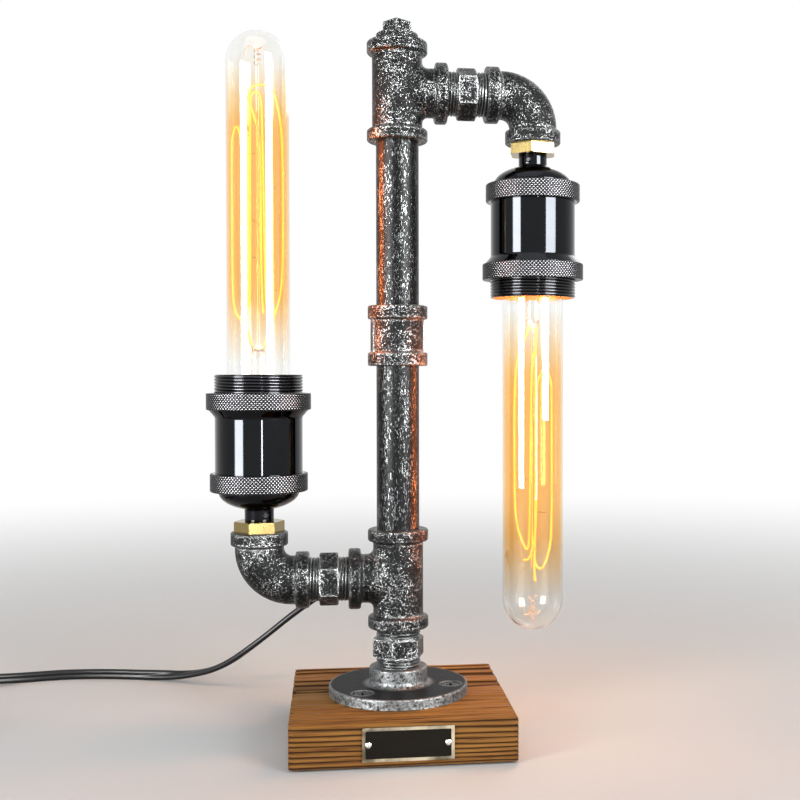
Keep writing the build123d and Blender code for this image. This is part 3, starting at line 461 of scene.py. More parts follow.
def twin_section(steps=11):
    """Outline of two wires and their web: points across (x) and through (y) the cord."""
    outline = []
    arc = math.pi - 1.15 * math.acos(wire_offset / wire_radius)
    for centre, facing in ((wire_offset, 0.0), (-wire_offset, math.pi)):
        for count in range(steps):
            angle = facing + arc * (2 * count / (steps - 1) - 1)
            across_cord = centre + wire_radius * math.cos(angle)
            outline.append((across_cord, wire_radius * math.sin(angle)))
    return outline


def sweep_cord(name, line, turn_at, finish):
    """A closed tube of the twin section along the line. turn_at gives its turn, 0 to 1."""
    outline = twin_section()
    verts, faces = [], []
    count = len(outline)
    for index, point in enumerate(line):
        ahead = line[min(index + 1, len(line) - 1)] - line[max(index - 1, 0)]
        ahead.normalize()
        level_side = ahead.cross(up).normalized()
        over = level_side.cross(ahead).normalized()
        turn = turn_at(point) * math.pi / 2
        wide = level_side * math.cos(turn) + over * math.sin(turn)
        thin = over * math.cos(turn) - level_side * math.sin(turn)
        verts += [point + wide * a + thin * b for a, b in outline]
    for ring in range(len(line) - 1):
        for k in range(count):
            a, b = ring * count + k, ring * count + (k + 1) % count
            faces.append((b, a, a + count, b + count))
    faces.append(tuple(range(count)))
    faces.append(tuple(reversed(range((len(line) - 1) * count, len(line) * count))))
    mesh = bpy.data.meshes.new(name)
    mesh.from_pydata(verts, [], faces)
    return finished(name, mesh, "stand", finish, 60)


cord_vinyl = Finish("cord_vinyl", base_color=(0.008, 0.008, 0.009), specular_ior_level=0.22)
cord_vinyl.worn(260, 0.30, 0.46, detail=2)
cord_vinyl.relief(cord_vinyl.noise(900, 2), 0.12, 0.0002)


def lead_turn(point):
    """0 while the cord falls, 1 once it lies on the table."""
    share = clamped((-0.105 - point.x) / 0.045)
    return share * share * (3 - 2 * share)


lead_cord = sweep_cord("cord_to_switch", lead_line, lead_turn, cord_vinyl)
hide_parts("cord_lead")
tail_cord = sweep_cord("cord_to_plug", tail_line, lambda point: 1.0, cord_vinyl)
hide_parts("cord_link", "cord_coil", "cord_tail")
print("cord faces:", len(lead_cord.data.polygons), len(tail_cord.data.polygons))

# %% [markdown]
# ## Cast fittings
# Tees, elbows, coupling and nipples are cast iron, painted black and then dry-brushed: a nearly dry
# brush of silver drags over the rough skin and leaves paint on what stands proud, the grain of the
# sand mould and every edge. So the finish needs two masks, a fine grain and the edges. The edges
# come from a Bevel node: where its rounded normal leaves the true one, there is an edge.

# %% Cast and piped iron


def edge_mask(finish, radius, low, high):
    """1 on edges, 0 on open faces."""
    soft = finish.put("ShaderNodeBevel", {"Radius": radius}, samples=6)
    true = finish.put("ShaderNodeNewGeometry").outputs["Normal"]
    return finish.step(finish.minus(1.0, finish.vector("DOT_PRODUCT", soft, true)), low, high)


def brushed_iron(name, grain, low, high, silver, depth, brush=(1, 1, 1)):
    """Black iron with silver on its grain and edges. Grain over high is silver, under low black."""
    finish = Finish(name)
    fine = finish.noise(grain, 3, 0.62, finish.stretched(*brush), 0.9)
    broad = finish.noise(grain / 9, 2, 0.5, finish.stretched(*brush))
    grain_height = finish.maths("MULTIPLY_ADD", finish.minus(broad, 0.5), 0.30, fine)
    near_edge = edge_mask(finish, 0.0032, 0.004, 0.10)
    reached = finish.maths("MULTIPLY_ADD", near_edge, 0.105, grain_height)
    speckle = finish.times(finish.step(reached, low, high), 0.9)
    rims = edge_mask(finish, 0.0011, 0.008, 0.06)
    rims = finish.times(rims, finish.step(finish.noise(grain / 2, 2), 0.26, 0.46))
    mask = finish.maths("MAXIMUM", speckle, rims, clamp=True)
    finish.set(
        base_color=finish.blend(mask, (0.006, 0.0065, 0.007), silver),
        metallic=finish.times(mask, 0.9),
        specular_ior_level=0.08,
        roughness=finish.between(mask, 0.30, 0.26),
    )
    finish.relief(grain_height, 0.9, depth)
    return finish


cast_iron = brushed_iron(
    "cast_iron_silvered", 1150, 0.568, 0.622, silver=(0.28, 0.29, 0.29), depth=0.0005
)
pipe_iron = brushed_iron(
    "pipe_iron_silvered", 1800, 0.568, 0.640, silver=(0.17, 0.18, 0.18), depth=0.00013,
    brush=(1, 1, 0.25),
)
dress(
    cast_iron, "base_nipple", "lower_tee", "coupling", "lower_arm_nipple", "upper_tee", "top_plug",
    "upper_arm_nipple", *both("elbow"),
)
dress(pipe_iron, "lower_pipe", "upper_pipe")

# %% [markdown]
# The floor flange is smoother: near black on its plate, with silver rubbed on its rim and up its
# hub. Its distance from the column's axis tells plate from hub.

# %% Flange iron
iron = Finish("flange_iron", specular_ior_level=0.05)
off_axis = iron.vector("LENGTH", iron.stretched(1, 1, 0))
on_hub = iron.times(iron.step(off_axis, 0.0190, 0.0150), 0.75)
on_side = iron.times(iron.step(off_axis, 0.0335, 0.0343), 0.8)
on_rim = edge_mask(iron, 0.0022, 0.004, 0.07)
silvered = iron.maths("MAXIMUM", iron.maths("MAXIMUM", on_hub, on_side), on_rim)
rubbed = iron.noise(750, 4, 0.66, distortion=0.8)
silvered = iron.times(silvered, iron.step(rubbed, 0.30, 0.60))
iron.set(
    base_color=iron.blend(silvered, (0.006, 0.0065, 0.008), (0.26, 0.27, 0.27)),
    metallic=iron.times(silvered, 0.85),
    roughness=iron.between(rubbed, 0.36, 0.56),
)
iron.relief(iron.noise(800, 3), 0.5, 0.0004)
dress(iron, "floor_flange")

# %% [markdown]
# ## Wood
# The block is softwood that has been flamed and brushed with wire: the soft part of each year's
# ring is worn away and the hard part stands as a rib. The rings are shells round the trunk's heart,
# so the same pattern of distances from an axis under the block gives ribs on the front, lines on
# top and arcs on the ends, and they meet at the edges as they do in a sawn piece. One function lays
# the rings out twice: in the material, where it picks the colour, and in the tree, where it cuts
# the grooves.

# %% Rings of the wood
ring_pitch, heart_y, heart_z = 0.0021, 0.010, -0.105


def year_groove(w, place):
    """1 at the bottom of a groove, 0 on a rib."""
    wander = w.minus(w.noise(55, 3, 0.5, w.scaled(place, 0.10, 1, 1)), 0.5)
    parts = w.put("ShaderNodeSeparateXYZ", {0: place}).outputs
    dy, dz = w.minus(parts["Y"], heart_y), w.minus(parts["Z"], heart_z)
    away = w.maths("SQRT", w.plus(w.times(dy, dy), w.times(dz, dz)))
    phase = w.maths("DIVIDE", w.maths("MULTIPLY_ADD", wander, 0.0060, away), ring_pitch)
    return w.step(w.maths("PINGPONG", phase, 0.5), 0.32, 0.06)


wood = Finish("brushed_wood", specular_ior_level=0.05)
groove = year_groove(wood, wood.place)
fibre = wood.noise(900, 3, 0.6, wood.stretched(0.03, 1, 1))
patch = wood.noise(28, 2, 0.5, wood.stretched(0.10, 1, 1))
hard = wood.blend(patch, (0.23, 0.095, 0.019), (0.43, 0.212, 0.054))
hard = wood.blend(wood.step(fibre, 0.35, 0.75), hard, (0.130, 0.048, 0.012))
wood.set(base_color=wood.blend(wood.times(groove, 0.93), hard, (0.020, 0.008, 0.003)))
wood.set(roughness=wood.between(groove, 0.55, 0.80))
wood.relief(wood.maths("MULTIPLY_ADD", fibre, 0.30, wood.minus(1.0, groove)), 0.6, 0.0005)

# %% Block cut by a tree
block_sizes = {
    "Side": 0.106, "Height": 0.0205, "Lift": 0.001, "Easing": 0.0008, "Depth": 0.0005,
}


def block_tree():
    w, given = tree_with_inputs("brushed_block", block_sizes)
    size = w.xyz(given["Side"], given["Side"], given["Height"])
    cuts = {"Vertices X": 46, "Vertices Y": 300, "Vertices Z": 60}
    box = w.put("GeometryNodeMeshCube", {"Size": size, **cuts}).outputs["Mesh"]
    spot = w.put("GeometryNodeInputPosition")
    margin = w.xyz(given["Easing"], given["Easing"], given["Easing"])
    core = w.vector("SUBTRACT", w.sized(size, 0.5), margin)
    below = w.sized(core, -1.0)
    inside = w.vector("MINIMUM", w.vector("MAXIMUM", spot, below), core)
    outward = w.vector("NORMALIZE", w.vector("SUBTRACT", spot, inside))
    rounded = w.vector("ADD", w.sized(outward, given["Easing"]), inside)
    lift = w.xyz(z=w.maths("MULTIPLY_ADD", given["Height"], 0.5, given["Lift"]))
    lifted = w.vector("ADD", rounded, lift)
    cut = w.times(year_groove(w, lifted), w.times(given["Depth"], -1.0))
    place = w.vector("ADD", lifted, w.sized(outward, cut))
    shaped = w.put("GeometryNodeSetPosition", {"Geometry": box, "Position": place})
    return ended(w, shaped, given["Finish"])


block = grown("brushed_block", block_tree(), Matrix(), "stand", wood, "wood", sharp=60)
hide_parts("base_block")
print("faces of the block:", len(block.data.polygons))

# %% [markdown]
# ## Small fixed pieces
# Felt under the block, an enamelled nameplate with a bright border, its pins and the wood screws.
# The plate is bare: its enamel field lies deeper than its border, so the height of the face tells
# metal from enamel and no mask has to be drawn.

# %% Finishes of the small pieces
felt = Finish("felt", roughness=0.95)
felt.mottled(1500, (0.012, 0.012, 0.012), (0.05, 0.05, 0.05))
felt.relief(felt.noise(2500), 0.8, 0.0003)
dress(felt, "felt_pads")

plate = Finish("enamelled_plate", metallic=1.0)
plate_parts = plate.put("ShaderNodeSeparateXYZ", {0: plate.place})
border = plate.step(plate_parts.outputs["Y"], -0.05360, -0.05370)
brushed = plate.noise(1800, 3, 0.6, plate.stretched(0.03, 1, 1))
tarnish = plate.step(plate.noise(70), 0.35, 0.65)
champagne = plate.blend(tarnish, (0.17, 0.15, 0.10), (0.78, 0.73, 0.56))
plate.set(
    base_color=plate.blend(border, (0.022, 0.021, 0.018), champagne),
    roughness=plate.between(border, 0.20, plate.between(brushed, 0.14, 0.26)),
)
dress(plate, "nameplate")

pin_metal = Finish("pin_metal", base_color=(0.70, 0.69, 0.66), metallic=1.0)
pin_metal.worn(1500, 0.16, 0.36)
dress(pin_metal, "nameplate_pins")

screw_black = Finish("screw_black", metallic=0.8)
screw_black.mottled(1200, (0.004, 0.004, 0.005), (0.016, 0.016, 0.017))
screw_black.worn(800, 0.25, 0.45)
dress(screw_black, "flange_screws", "switch_screws")

brass = Finish("bright_brass", metallic=1.0)
brass.mottled(300, (0.24, 0.18, 0.065), (0.32, 0.245, 0.10))
lathe_marks = brass.noise(1600, 3, 0.6, brass.stretched(1, 1, 0.05))
brass.set(roughness=brass.between(lathe_marks, 0.14, 0.30))
dress(brass, *both("bushing", "neck_tube", "centre_contact"))

bright_nickel = Finish("bright_nickel", metallic=1.0)
bright_nickel.mottled(200, (0.66, 0.63, 0.57), (0.78, 0.76, 0.71))
bright_nickel.worn(900, 0.14, 0.30)
dress(bright_nickel, "plug_pins", *both("screw_sleeve", "bulb_contact"))

core_clay = Finish("core_clay", roughness=0.6)
core_clay.mottled(500, (0.70, 0.68, 0.62), (0.82, 0.80, 0.75))
dress(core_clay, *both("socket_core"))

sleeve_cloth = Finish("lead_sleeve", roughness=0.8)
sleeve_cloth.mottled(1800, (0.50, 0.49, 0.46), (0.74, 0.73, 0.70))
dress(sleeve_cloth, "splice_caps", "supply_leads", "upper_arm_leads", *both("head_leads"))

soft_black = Finish("soft_black", base_color=(0.010, 0.010, 0.010), specular_ior_level=0.22)
soft_black.worn(700, 0.42, 0.58)
soft_black.relief(soft_black.noise(2600, 2), 0.25, 0.0002)
dress(soft_black, "cord_gland", "plug_body")

hard_black = Finish("hard_black", base_color=(0.010, 0.010, 0.011), specular_ior_level=0.35)
hard_black.worn(300, 0.14, 0.26)
hard_black.relief(hard_black.noise(2200, 2), 0.10, 0.0002)
dress(hard_black, "switch_base", "switch_cover", "switch_rocker")

# %% [markdown]
# ## Turned pieces
# The lamp holders are turned on a lathe, so each is drawn as the outline that the tool follows and
# spun round its axis. An outline's corner may carry a radius, and is then eased over by that much,
# because a sharp edge never catches light the way a turned one does. Both holders are one design;
# the upper one hangs upside down, so its outline is simply turned over.

# %% Turning
seats = {
    "lower": Matrix.Translation((-0.0685, 0, 0.1035)),
    "upper": Matrix.Translation((0.0685, 0, 0.2972)) @ Matrix.Rotation(math.pi, 4, "Y"),
}


def eased(corners, steps=4):
    """Corners are (radius, height) or (radius, height, easing); gives the outline's points."""
    points = []
    for index, corner in enumerate(corners):
        here = Vector(corner[:2])
        if len(corner) < 3:
            points.append(here)
            continue
        before = Vector(corners[index - 1][:2]) - here
        after = Vector(corners[(index + 1) % len(corners)][:2]) - here
        reach_back = min(corner[2], before.length * 0.48)
        reach_on = min(corner[2], after.length * 0.48)
        start, end = here + before.normalized() * reach_back, here + after.normalized() * reach_on
        for count in range(steps + 1):
            t = count / steps
            points.append(start * (1 - t) ** 2 + here * 2 * t * (1 - t) + end * t * t)
    return points


def turned(name, outline, place, body, finish, segments=96):
    """A closed outline spun round an axis. Points on the axis become single poles."""
    points = [p * MM for p in outline]
    verts, rows = [], []
    for point in points:
        if point.x < 1e-7:  # on the axis
            rows.append([len(verts)] * segments)
            verts.append((0, 0, point.y))
        else:
            rows.append(list(range(len(verts), len(verts) + segments)))
            for k in range(segments):
                angle = 2 * math.pi * k / segments
                verts.append((point.x * math.cos(angle), point.x * math.sin(angle), point.y))
    faces = []
    for index, row in enumerate(rows):
        following = rows[(index + 1) % len(rows)]
        for k in range(segments):
            corners = (row[k], row[(k + 1) % segments], following[(k + 1) % segments], following[k])
            face = tuple(dict.fromkeys(corners))
            if len(face) > 2:
                faces.append(face)
    mesh = bpy.data.meshes.new(name)
    mesh.from_pydata(verts, [], faces)
    mesh.transform(place)
    return finished(name, mesh, body, finish)


# %% [markdown]
# ## Knurls and threads
# Two tools cut what repeats round these pieces. A knurling wheel presses two sets of slanted
# grooves that cross into diamonds, and a screw-cutting tool leaves one slanted groove, the thread.
# Both are a height that depends only on the turn and the height along the axis, so one Geometry
# Nodes tree makes both: a flat grid is rolled into a ring, each point is set back by its groove's
# depth, and the rows at both ends lead to the bore and back, which closes the ring.

# %% The grooved ring as a tree
ring_sizes = {
    "Radius": 0.0239, "Bore": 0.0212, "Bottom": 0.0, "Height": 0.009, "Depth": 0.0004,
    "Pitch": 0.0014, "Starts": 1.0, "Crossed": 0.0, "Land": 0.0, "Easing": 0.0006, "Across": 96,
    "Rows": 24,
}


def grooved_ring_tree():
    w, given = tree_with_inputs("grooved_ring", ring_sizes)
    last_row = w.plus(given["Rows"], 3)
    counts = {"Vertices X": w.plus(given["Across"], 1), "Vertices Y": w.plus(last_row, 1)}
    grid = w.put("GeometryNodeMeshGrid", {"Size X": 1.0, "Size Y": 1.0, **counts}).outputs["Mesh"]
    spot = w.put("ShaderNodeSeparateXYZ", {0: w.put("GeometryNodeInputPosition")}).outputs
    turn = w.plus(spot["X"], 0.5)
    row = w.maths("ROUND", w.times(w.plus(spot["Y"], 0.5), last_row))
    rise = w.maths("DIVIDE", w.minus(row, 1.0), w.minus(last_row, 2.0), clamp=True)
    on_wall = w.times(rise, given["Height"])
    at_start = w.maths("LESS_THAN", row, 0.5)
    inner = w.plus(at_start, w.maths("GREATER_THAN", row, w.minus(last_row, 1.5)))
    closing = w.maths("GREATER_THAN", row, w.minus(last_row, 0.5))
    height = w.plus(w.times(on_wall, w.minus(1.0, closing)), given["Bottom"])

    along = w.maths("DIVIDE", on_wall, given["Pitch"])
    round_it = w.times(turn, given["Starts"])
    one = w.times(w.maths("PINGPONG", w.plus(round_it, along), 0.5), 2.0)
    other = w.times(w.maths("PINGPONG", w.minus(round_it, along), 0.5), 2.0)
    other = w.maths("MAXIMUM", other, w.minus(1.0, given["Crossed"]))
    crest = w.maths("MINIMUM", one, other)
    crest = w.maths("DIVIDE", crest, w.minus(1.0, given["Land"]), clamp=True)
    to_end = w.maths("MINIMUM", on_wall, w.minus(given["Height"], on_wall))
    ease = w.minus(1.0, w.maths("DIVIDE", to_end, given["Easing"], clamp=True))
    sunk = w.times(w.minus(1.0, crest), given["Depth"])
    sunk = w.maths("MAXIMUM", sunk, w.times(w.times(ease, ease), given["Easing"]))
    radius = w.between(inner, w.minus(given["Radius"], sunk), given["Bore"])
    angle = w.times(turn, 2 * math.pi)
    x, y = (w.times(radius, w.maths(wave, angle)) for wave in ("COSINE", "SINE"))

    proud = w.times(crest, w.minus(1.0, inner))
    sockets = {"Geometry": grid, "Name": "crest", "Value": proud}
    marked = w.put("GeometryNodeStoreNamedAttribute", sockets, data_type="FLOAT")
    sockets = {"Geometry": marked, "Position": w.xyz(x, y, height)}
    rolled = w.put("GeometryNodeSetPosition", sockets)
    closed = w.put("GeometryNodeMergeByDistance", {"Geometry": rolled, "Distance": 1e-6})
    return ended(w, closed, given["Finish"])


ring_tree = grooved_ring_tree()


def grooved_ring(name, place, body, finish, slot, **sizes):
    return grown(name, ring_tree, place, body, finish, slot, **sizes)


print("inputs of the tree:", ", ".join(ring_sizes))

# %% [markdown]
# ## Black nickel
# The holders are plated in black nickel and polished: a dark mirror. Its base colour is what it
# reflects head on, a few parts in a hundred. Finger marks only change the roughness. The shell's
# bore is painted a warm brown, a painted glow of the bulb, which the lamp low in its mouth
# brightens into a warm rim; an attribute on its points tells bore from outside. On the knurled
# rings and on the collar's thread the crests are lighter than the grooves: partly worn plating,
# partly a painted highlight on the crests and painted shade in the grooves. There the ring's crest
# attribute tells.

# %% Holder finishes
black_nickel = Finish("black_nickel", metallic=1.0)
smear = black_nickel.noise(70, 3, 0.6)
# The bore's warm brown is a painted glow of the bulb.
painted_glow_bore = black_nickel.stored("painted_glow_bore")
plated = black_nickel.blend(smear, (0.016, 0.017, 0.019), (0.022, 0.023, 0.025))
black_nickel.set(
    base_color=black_nickel.blend(painted_glow_bore, plated, (0.36, 0.22, 0.095)),
    roughness=black_nickel.between(painted_glow_bore, black_nickel.between(smear, 0.035, 0.085), 0.45),
)

knurl_nickel = Finish("knurled_nickel", metallic=1.0)
knurl_crest = knurl_nickel.stored("crest")
# Crests lighter than grooves: partly worn plating, partly painted highlight and painted shade.
worn_and_lit_crest = knurl_nickel.step(knurl_crest, 0.25, 0.95)
knurl_nickel.set(
    base_color=knurl_nickel.blend(worn_and_lit_crest, (0.012, 0.012, 0.013), (0.26, 0.26, 0.27)),
    roughness=knurl_nickel.between(knurl_crest, 0.34, 0.20),
)

thread_nickel = Finish("threaded_nickel", metallic=1.0)
# As on the knurls: partly worn crests, partly painted highlight on them and painted shade in the
# grooves.
worn_and_lit_crest = thread_nickel.step(thread_nickel.stored("crest"), 0.3, 1.0)
thread_nickel.set(
    base_color=thread_nickel.blend(worn_and_lit_crest, (0.012, 0.012, 0.013), (0.050, 0.051, 0.055))
)
thread_nickel.worn(900, 0.12, 0.2)

# %% [markdown]
# ## The lamp holders
# From the elbow up: a neck that hides the brass tube, a low dome, a knurled ring, a polished body
# that flares under the shade ring, and a threaded collar that takes it. Dome, body and collar are
# turned; the rings are cut by the tree.

# %% Holders
neck_radius, neck_foot, neck_top, lead_hole = 7.15, 5.3, 11.4, 5.0
dome_radius, dome_rise, dome_foot = 19.8, 8.75, 20.15
band_inside, band_outside, band_top = 21.35, 22.6, 29.1
ledge, dome_steps = 21.55, 16
dome_start = math.acos(neck_radius / dome_radius)
dome_depth = dome_rise / math.sin(dome_start)
dome_corners = [
    (lead_hole, neck_foot), (neck_radius, neck_foot, 0.3), (neck_radius, neck_top, 1.2),
]
for count in range(1, dome_steps + 1):
    angle = dome_start * (1 - count / dome_steps)
    dome_corners.append((dome_radius * math.cos(angle), dome_foot - dome_depth * math.sin(angle)))
dome_corners += [
    (band_outside, 20.2), (band_outside, band_top), (band_inside, band_top), (band_inside, ledge),
    (18.0, ledge), (18.0, dome_foot), (16.6, 17.1), (12.0, 14.2), (6.4, 12.7), (lead_hole, 12.7),
]

shell_bore, shell_radius, collar_radius = 20.2, 21.35, 21.0
shell_foot, flare_start, ring_seat, collar_top = 24.05, 56.6, 60.15, 77.5
body_corners = [
    (shell_bore, shell_foot), (shell_radius, shell_foot), (shell_radius, flare_start, 0.8),
    (24.4, ring_seat, 0.25), (collar_radius, ring_seat), (collar_radius, collar_top, 0.15),
    (shell_bore, collar_top, 0.15),
]


def bore_share(spot):
    """1 on the bore of a shell, 0 on its outside."""
    return float(spot.xy.length < (shell_bore + 0.3) * MM)


knurl = {"depth": 0.00042, "pitch": 0.0018, "crossed": 1.0, "easing": 0.0007}
for head in heads:
    seat, body = seats[head], f"{head}_head"
    cap = turned(f"{head}_cap_dome", eased(dome_corners), seat, body, black_nickel)
    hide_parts(f"{head}_holder_cap")
    name, outline = f"{head}_shell_body", eased(body_corners)
    shell = turned(name, outline, seat, body, black_nickel)
    # Marks the bore, where the bulb's glow is painted.
    mark_points(shell, "painted_glow_bore", seat, bore_share)
    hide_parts(f"{head}_holder_shell")
    grooved_ring(
        f"{head}_cap_knurl", seat, body, knurl_nickel, "black_nickel", radius=0.0239, bore=0.0225,
        bottom=0.02015, height=0.0090, starts=84.0, across=84 * 6, rows=36, **knurl,
    )
    grooved_ring(
        f"{head}_collar_thread", seat, body, thread_nickel, "black_nickel", radius=0.0216,
        bore=0.0209, bottom=0.06016, height=0.01730, depth=0.00055, pitch=0.0015, land=0.25,
        easing=0.0004, across=120, rows=110,
    )
    shade_ring = grooved_ring(
        f"{head}_ring_knurl", seat, f"{head}_ring", knurl_nickel, "black_nickel", radius=0.0256,
        bore=0.02168, bottom=0.0602, height=0.0084, starts=90.0, across=90 * 6, rows=34, **knurl,
    )
    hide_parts(f"{head}_shade_ring")
print("pieces of a holder:", cap.name, shell.name, shade_ring.name)

# %% [markdown]
# A set screw in each neck locks the holder on its brass tube. Only its hollow end shows.

# %% Set screws
screw_height, screw_bearing = 8.4 * MM, math.radians(-62)
screw_corners = [(0.0, 6.6), (1.5, 6.6), (1.5, 7.75, 0.2), (1.1, 7.9), (1.0, 7.5), (0.0, 7.5)]
for head in heads:
    lying = seats[head] @ Matrix.Translation((0, 0, screw_height))
    lying = lying @ Matrix.Rotation(screw_bearing, 4, "Z") @ Matrix.Rotation(math.pi / 2, 4, "Y")
    name, body = f"{head}_set_screw", f"{head}_head"
    turned(name, eased(screw_corners), lying, body, screw_black, 24)

# %% [markdown]
# ## Threads of the nipples
# Each nipple shows a few turns of its pipe thread on both sides of its hexagon.

# %% Nipple threads
nipples = {
    "base_nipple": ((0, 0, 0.0350), 0, "stand"),
    "lower_arm_nipple": ((-0.0248, 0, 0.0791), -90, "stand"),
    "upper_arm_nipple": ((0.0248, 0, 0.3216), 90, "upper_arm"),
}
for nipple, (foot, lean, body) in nipples.items():
    start = Matrix.Translation(foot) @ Matrix.Rotation(math.radians(lean), 4, "Y")
    for end, offset in (("near", 0.0001), ("far", 0.01445)):
        grooved_ring(
            f"{nipple}_thread_{end}", start @ Matrix.Translation((0, 0, offset)), body, pipe_iron,
            "cast_fitting", radius=0.01105, bore=0.0105, height=0.00475, depth=0.0006,
            pitch=0.0016, land=0.15, easing=0.0003, across=72, rows=30,
        )
print("nipples with threads:", ", ".join(nipples))

# %% [markdown]
# ## Bulbs
# A long tubular bulb: a clear envelope, a glass stem with its wires, and a glowing thread. The
# envelope is a real wall, because light bends twice in it and that draws the lines along its sides.
# Round the thread it is tinted amber, a painted glow of the lit thread, and at both ends it is
# clear;
# an attribute on its points tells. The light of the lamps has to reach the thread, so rays that
# cast shadows pass through.

# %% Glass


def glass(name, roughness=0.0):
    finish = Finish(name, roughness=roughness, ior=1.46, transmission_weight=1.0)
    clear = finish.put("ShaderNodeBsdfTransparent", {"Color": (0.97, 0.95, 0.90)})
    rays = finish.put("ShaderNodeLightPath").outputs
    finish.give_way(rays["Is Shadow Ray"], clear)
    return finish


amber_glass = glass("amber_glass")
painted_glow_here = amber_glass.stored("painted_glow_amber")
# The amber round the thread is a painted glow of the lit thread.
painted_glow_tint = amber_glass.blend(painted_glow_here, (0.96, 0.96, 0.94), (0.98, 0.70, 0.36))
amber_glass.set(base_color=painted_glow_tint)
stem_glass = glass("stem_glass", 0.02)
stem_glass.set(base_color=(0.94, 0.94, 0.92))
dress(stem_glass, *both("bulb_stem"))

# %% Envelope
envelope_radius, envelope_wall, envelope_top = 15.33, 0.9, 246.0
tube_start, tube_end = 61.6, envelope_top - envelope_radius


def envelope_outline(steps=16):
    """Up the outside to the tip, then down the inside."""
    outer = [(12.6, 44.0), (12.6, 49.4), (12.75, 51.5), (13.9, 56.0), (14.95, 59.0)]
    for count in range(steps + 1):
        outer.append((envelope_radius, tube_start + (tube_end - tube_start) * count / steps))
    inner = [(radius - envelope_wall, height) for radius, height in outer]
    for count in range(1, steps + 1):
        angle = count / steps * math.pi / 2
        for wall, radius in ((outer, envelope_radius), (inner, envelope_radius - envelope_wall)):
            off_axis = radius * math.cos(angle) if count < steps else 0.0
            wall.append((off_axis, tube_end + radius * math.sin(angle)))
    return [Vector(p) for p in outer + inner[::-1]]


def painted_glow_share(spot):
    """Share of the painted glow: 1 along the thread, 0 at both ends of the bulb."""
    height = spot.z / MM
    return clamped((height - 84) / 34) * clamped((232 - height) / 30)


for head in heads:
    name, body = f"{head}_envelope", f"{head}_bulb"
    envelope = turned(name, envelope_outline(), seats[head], body, amber_glass, 128)
    mark_points(envelope, "painted_glow_amber", seats[head], painted_glow_share)
    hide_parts(f"{head}_bulb_glass")

# %% [markdown]
# The cap that screws in is thin brass plated with nickel, with a rolled thread of coarse pitch. It
# is seen when a bulb is taken out. Its shell is turned and its thread is grown.

# %% Caps
cap_corners = [
    (9.0, 24.4), (12.2, 24.9, 0.4), (12.5, 26.0), (12.5, 43.5), (13.0, 44.2, 0.3),
    (13.0, 49.4, 0.2), (12.65, 49.4), (12.65, 44.4), (12.0, 43.0), (12.0, 26.0), (9.0, 24.9),
]
for head in heads:
    seat, body = seats[head], f"{head}_bulb"
    bulb_cap = turned(f"{head}_cap_shell", eased(cap_corners), seat, body, bright_nickel)
    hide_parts(f"{head}_bulb_cap")
    grooved_ring(
        f"{head}_cap_thread", seat, body, bright_nickel, "nickel", radius=0.0132, bore=0.0123,
        bottom=0.0262, height=0.0172, depth=0.0008, pitch=0.0036, rows=60,
    )

# %% [markdown]
# ## Filament
# The thread is bent by hand round its hooks, so no two loops are alike. Its points are written as a
# bulb maker would read them off a bulb on the bench: to the right of the axis, behind it, and up
# from the elbow. One curve per wire is drawn through them, and its thickness is the curve's bevel.

# %% Wires of the bulb
lower_left = [
    (-3, -2, 92), (-5, -3, 101), (-11, -3, 107), (-12.2, -3, 118), (-12.2, -3, 184),
    (-12, -3.5, 193), (-9.8, -4, 200), (-7.6, -4.5, 193), (-7.4, -5, 184), (-7.2, -6, 118),
    (-6.4, -7, 110), (-3.9, -8.4, 110), (-3.2, -9, 118), (-3, -9, 204), (-2.6, -8, 214.5),
    (1.8, -7.6, 214.5), (2.6, -8, 204), (3.8, -8.6, 118), (4.4, -8, 110.5), (6.8, -6, 110.5),
    (7.2, -4.6, 118), (7.2, -3, 196), (4, 1, 208),
]
lower_right = [
    (3, 2, 92), (5, 3, 101), (9.1, 1, 110), (12.1, 0, 124), (12.1, 0, 192), (10.5, 0, 206),
    (7.6, 1, 218), (4.6, 2, 220.4), (-3.2, 3, 220.4), (-4.9, 4, 214), (-2, 8, 205),
    (0.9, 9.5, 196), (0.9, 9, 116), (2, 6, 108),
]
upper_left = [
    (-2.4, -2, 92), (-4, -2, 98), (-8, -2, 105), (-9.8, -2, 124), (-9.6, -2, 182),
    (-8.2, -2, 194), (-5.4, -2.4, 202), (-3, -3, 206), (-2.2, -4, 198), (-2, -7, 124),
    (-1.4, -7.5, 105), (0.4, -7.6, 105), (0.5, -7, 122), (0.2, -6, 200), (0, -4, 216),
    (1, -2, 221),
]
upper_right = [
    (2.4, 2, 92), (1.6, 4, 110), (1.4, 5, 200), (1.4, 3, 214), (5.4, 1, 216.5), (9.4, 0, 204),
    (9.9, 0, 190), (9.9, 0, 126), (9.4, 0, 118), (5.9, -1, 113.5), (2.4, -1, 118), (1.9, -1, 126),
    (1.8, -2, 194), (-1, -2, 207), (-2.6, -2, 210.6), (-5, -2, 210.2),
]
thread_runs = {"lower": [lower_left, lower_right], "upper": [upper_left, upper_right]}
spring = [(1.7 * math.cos(t * 0.7), 1.7 * math.sin(t * 0.7), 229 + t * 0.32) for t in range(30)]
support_runs = [
    [(0, 0, 236), (-3, -1, 239), (-5.6, -1.5, 237.5), (-6, -1.5, 233)],
    [(0, 0, 236), (2.2, -1, 240), (3.2, -1, 236.5)],
    [(-2.4, 0, 70), (-2.6, -0.4, 86), (-3, -2, 92)],
    [(2.4, 0, 70), (2.6, 0.4, 86), (3, 2, 92)],
    spring,
]


def wires(name, runs, radius, head, finish):
    """Round wires through the runs' points, as one piece that rides on the head's bulb."""
    foot, upward = seats[head].translation, 1 if head == "lower" else -1
    placed = []
    for run in runs:
        spots = [Vector((aside, behind, upward * height)) for aside, behind, height in run]
        placed.append([foot + spot * MM for spot in spots])
    mesh = smooth_mesh(name, placed, resolution=5, bevel=radius * MM)
    return finished(name, mesh, f"{head}_bulb", finish, 60)


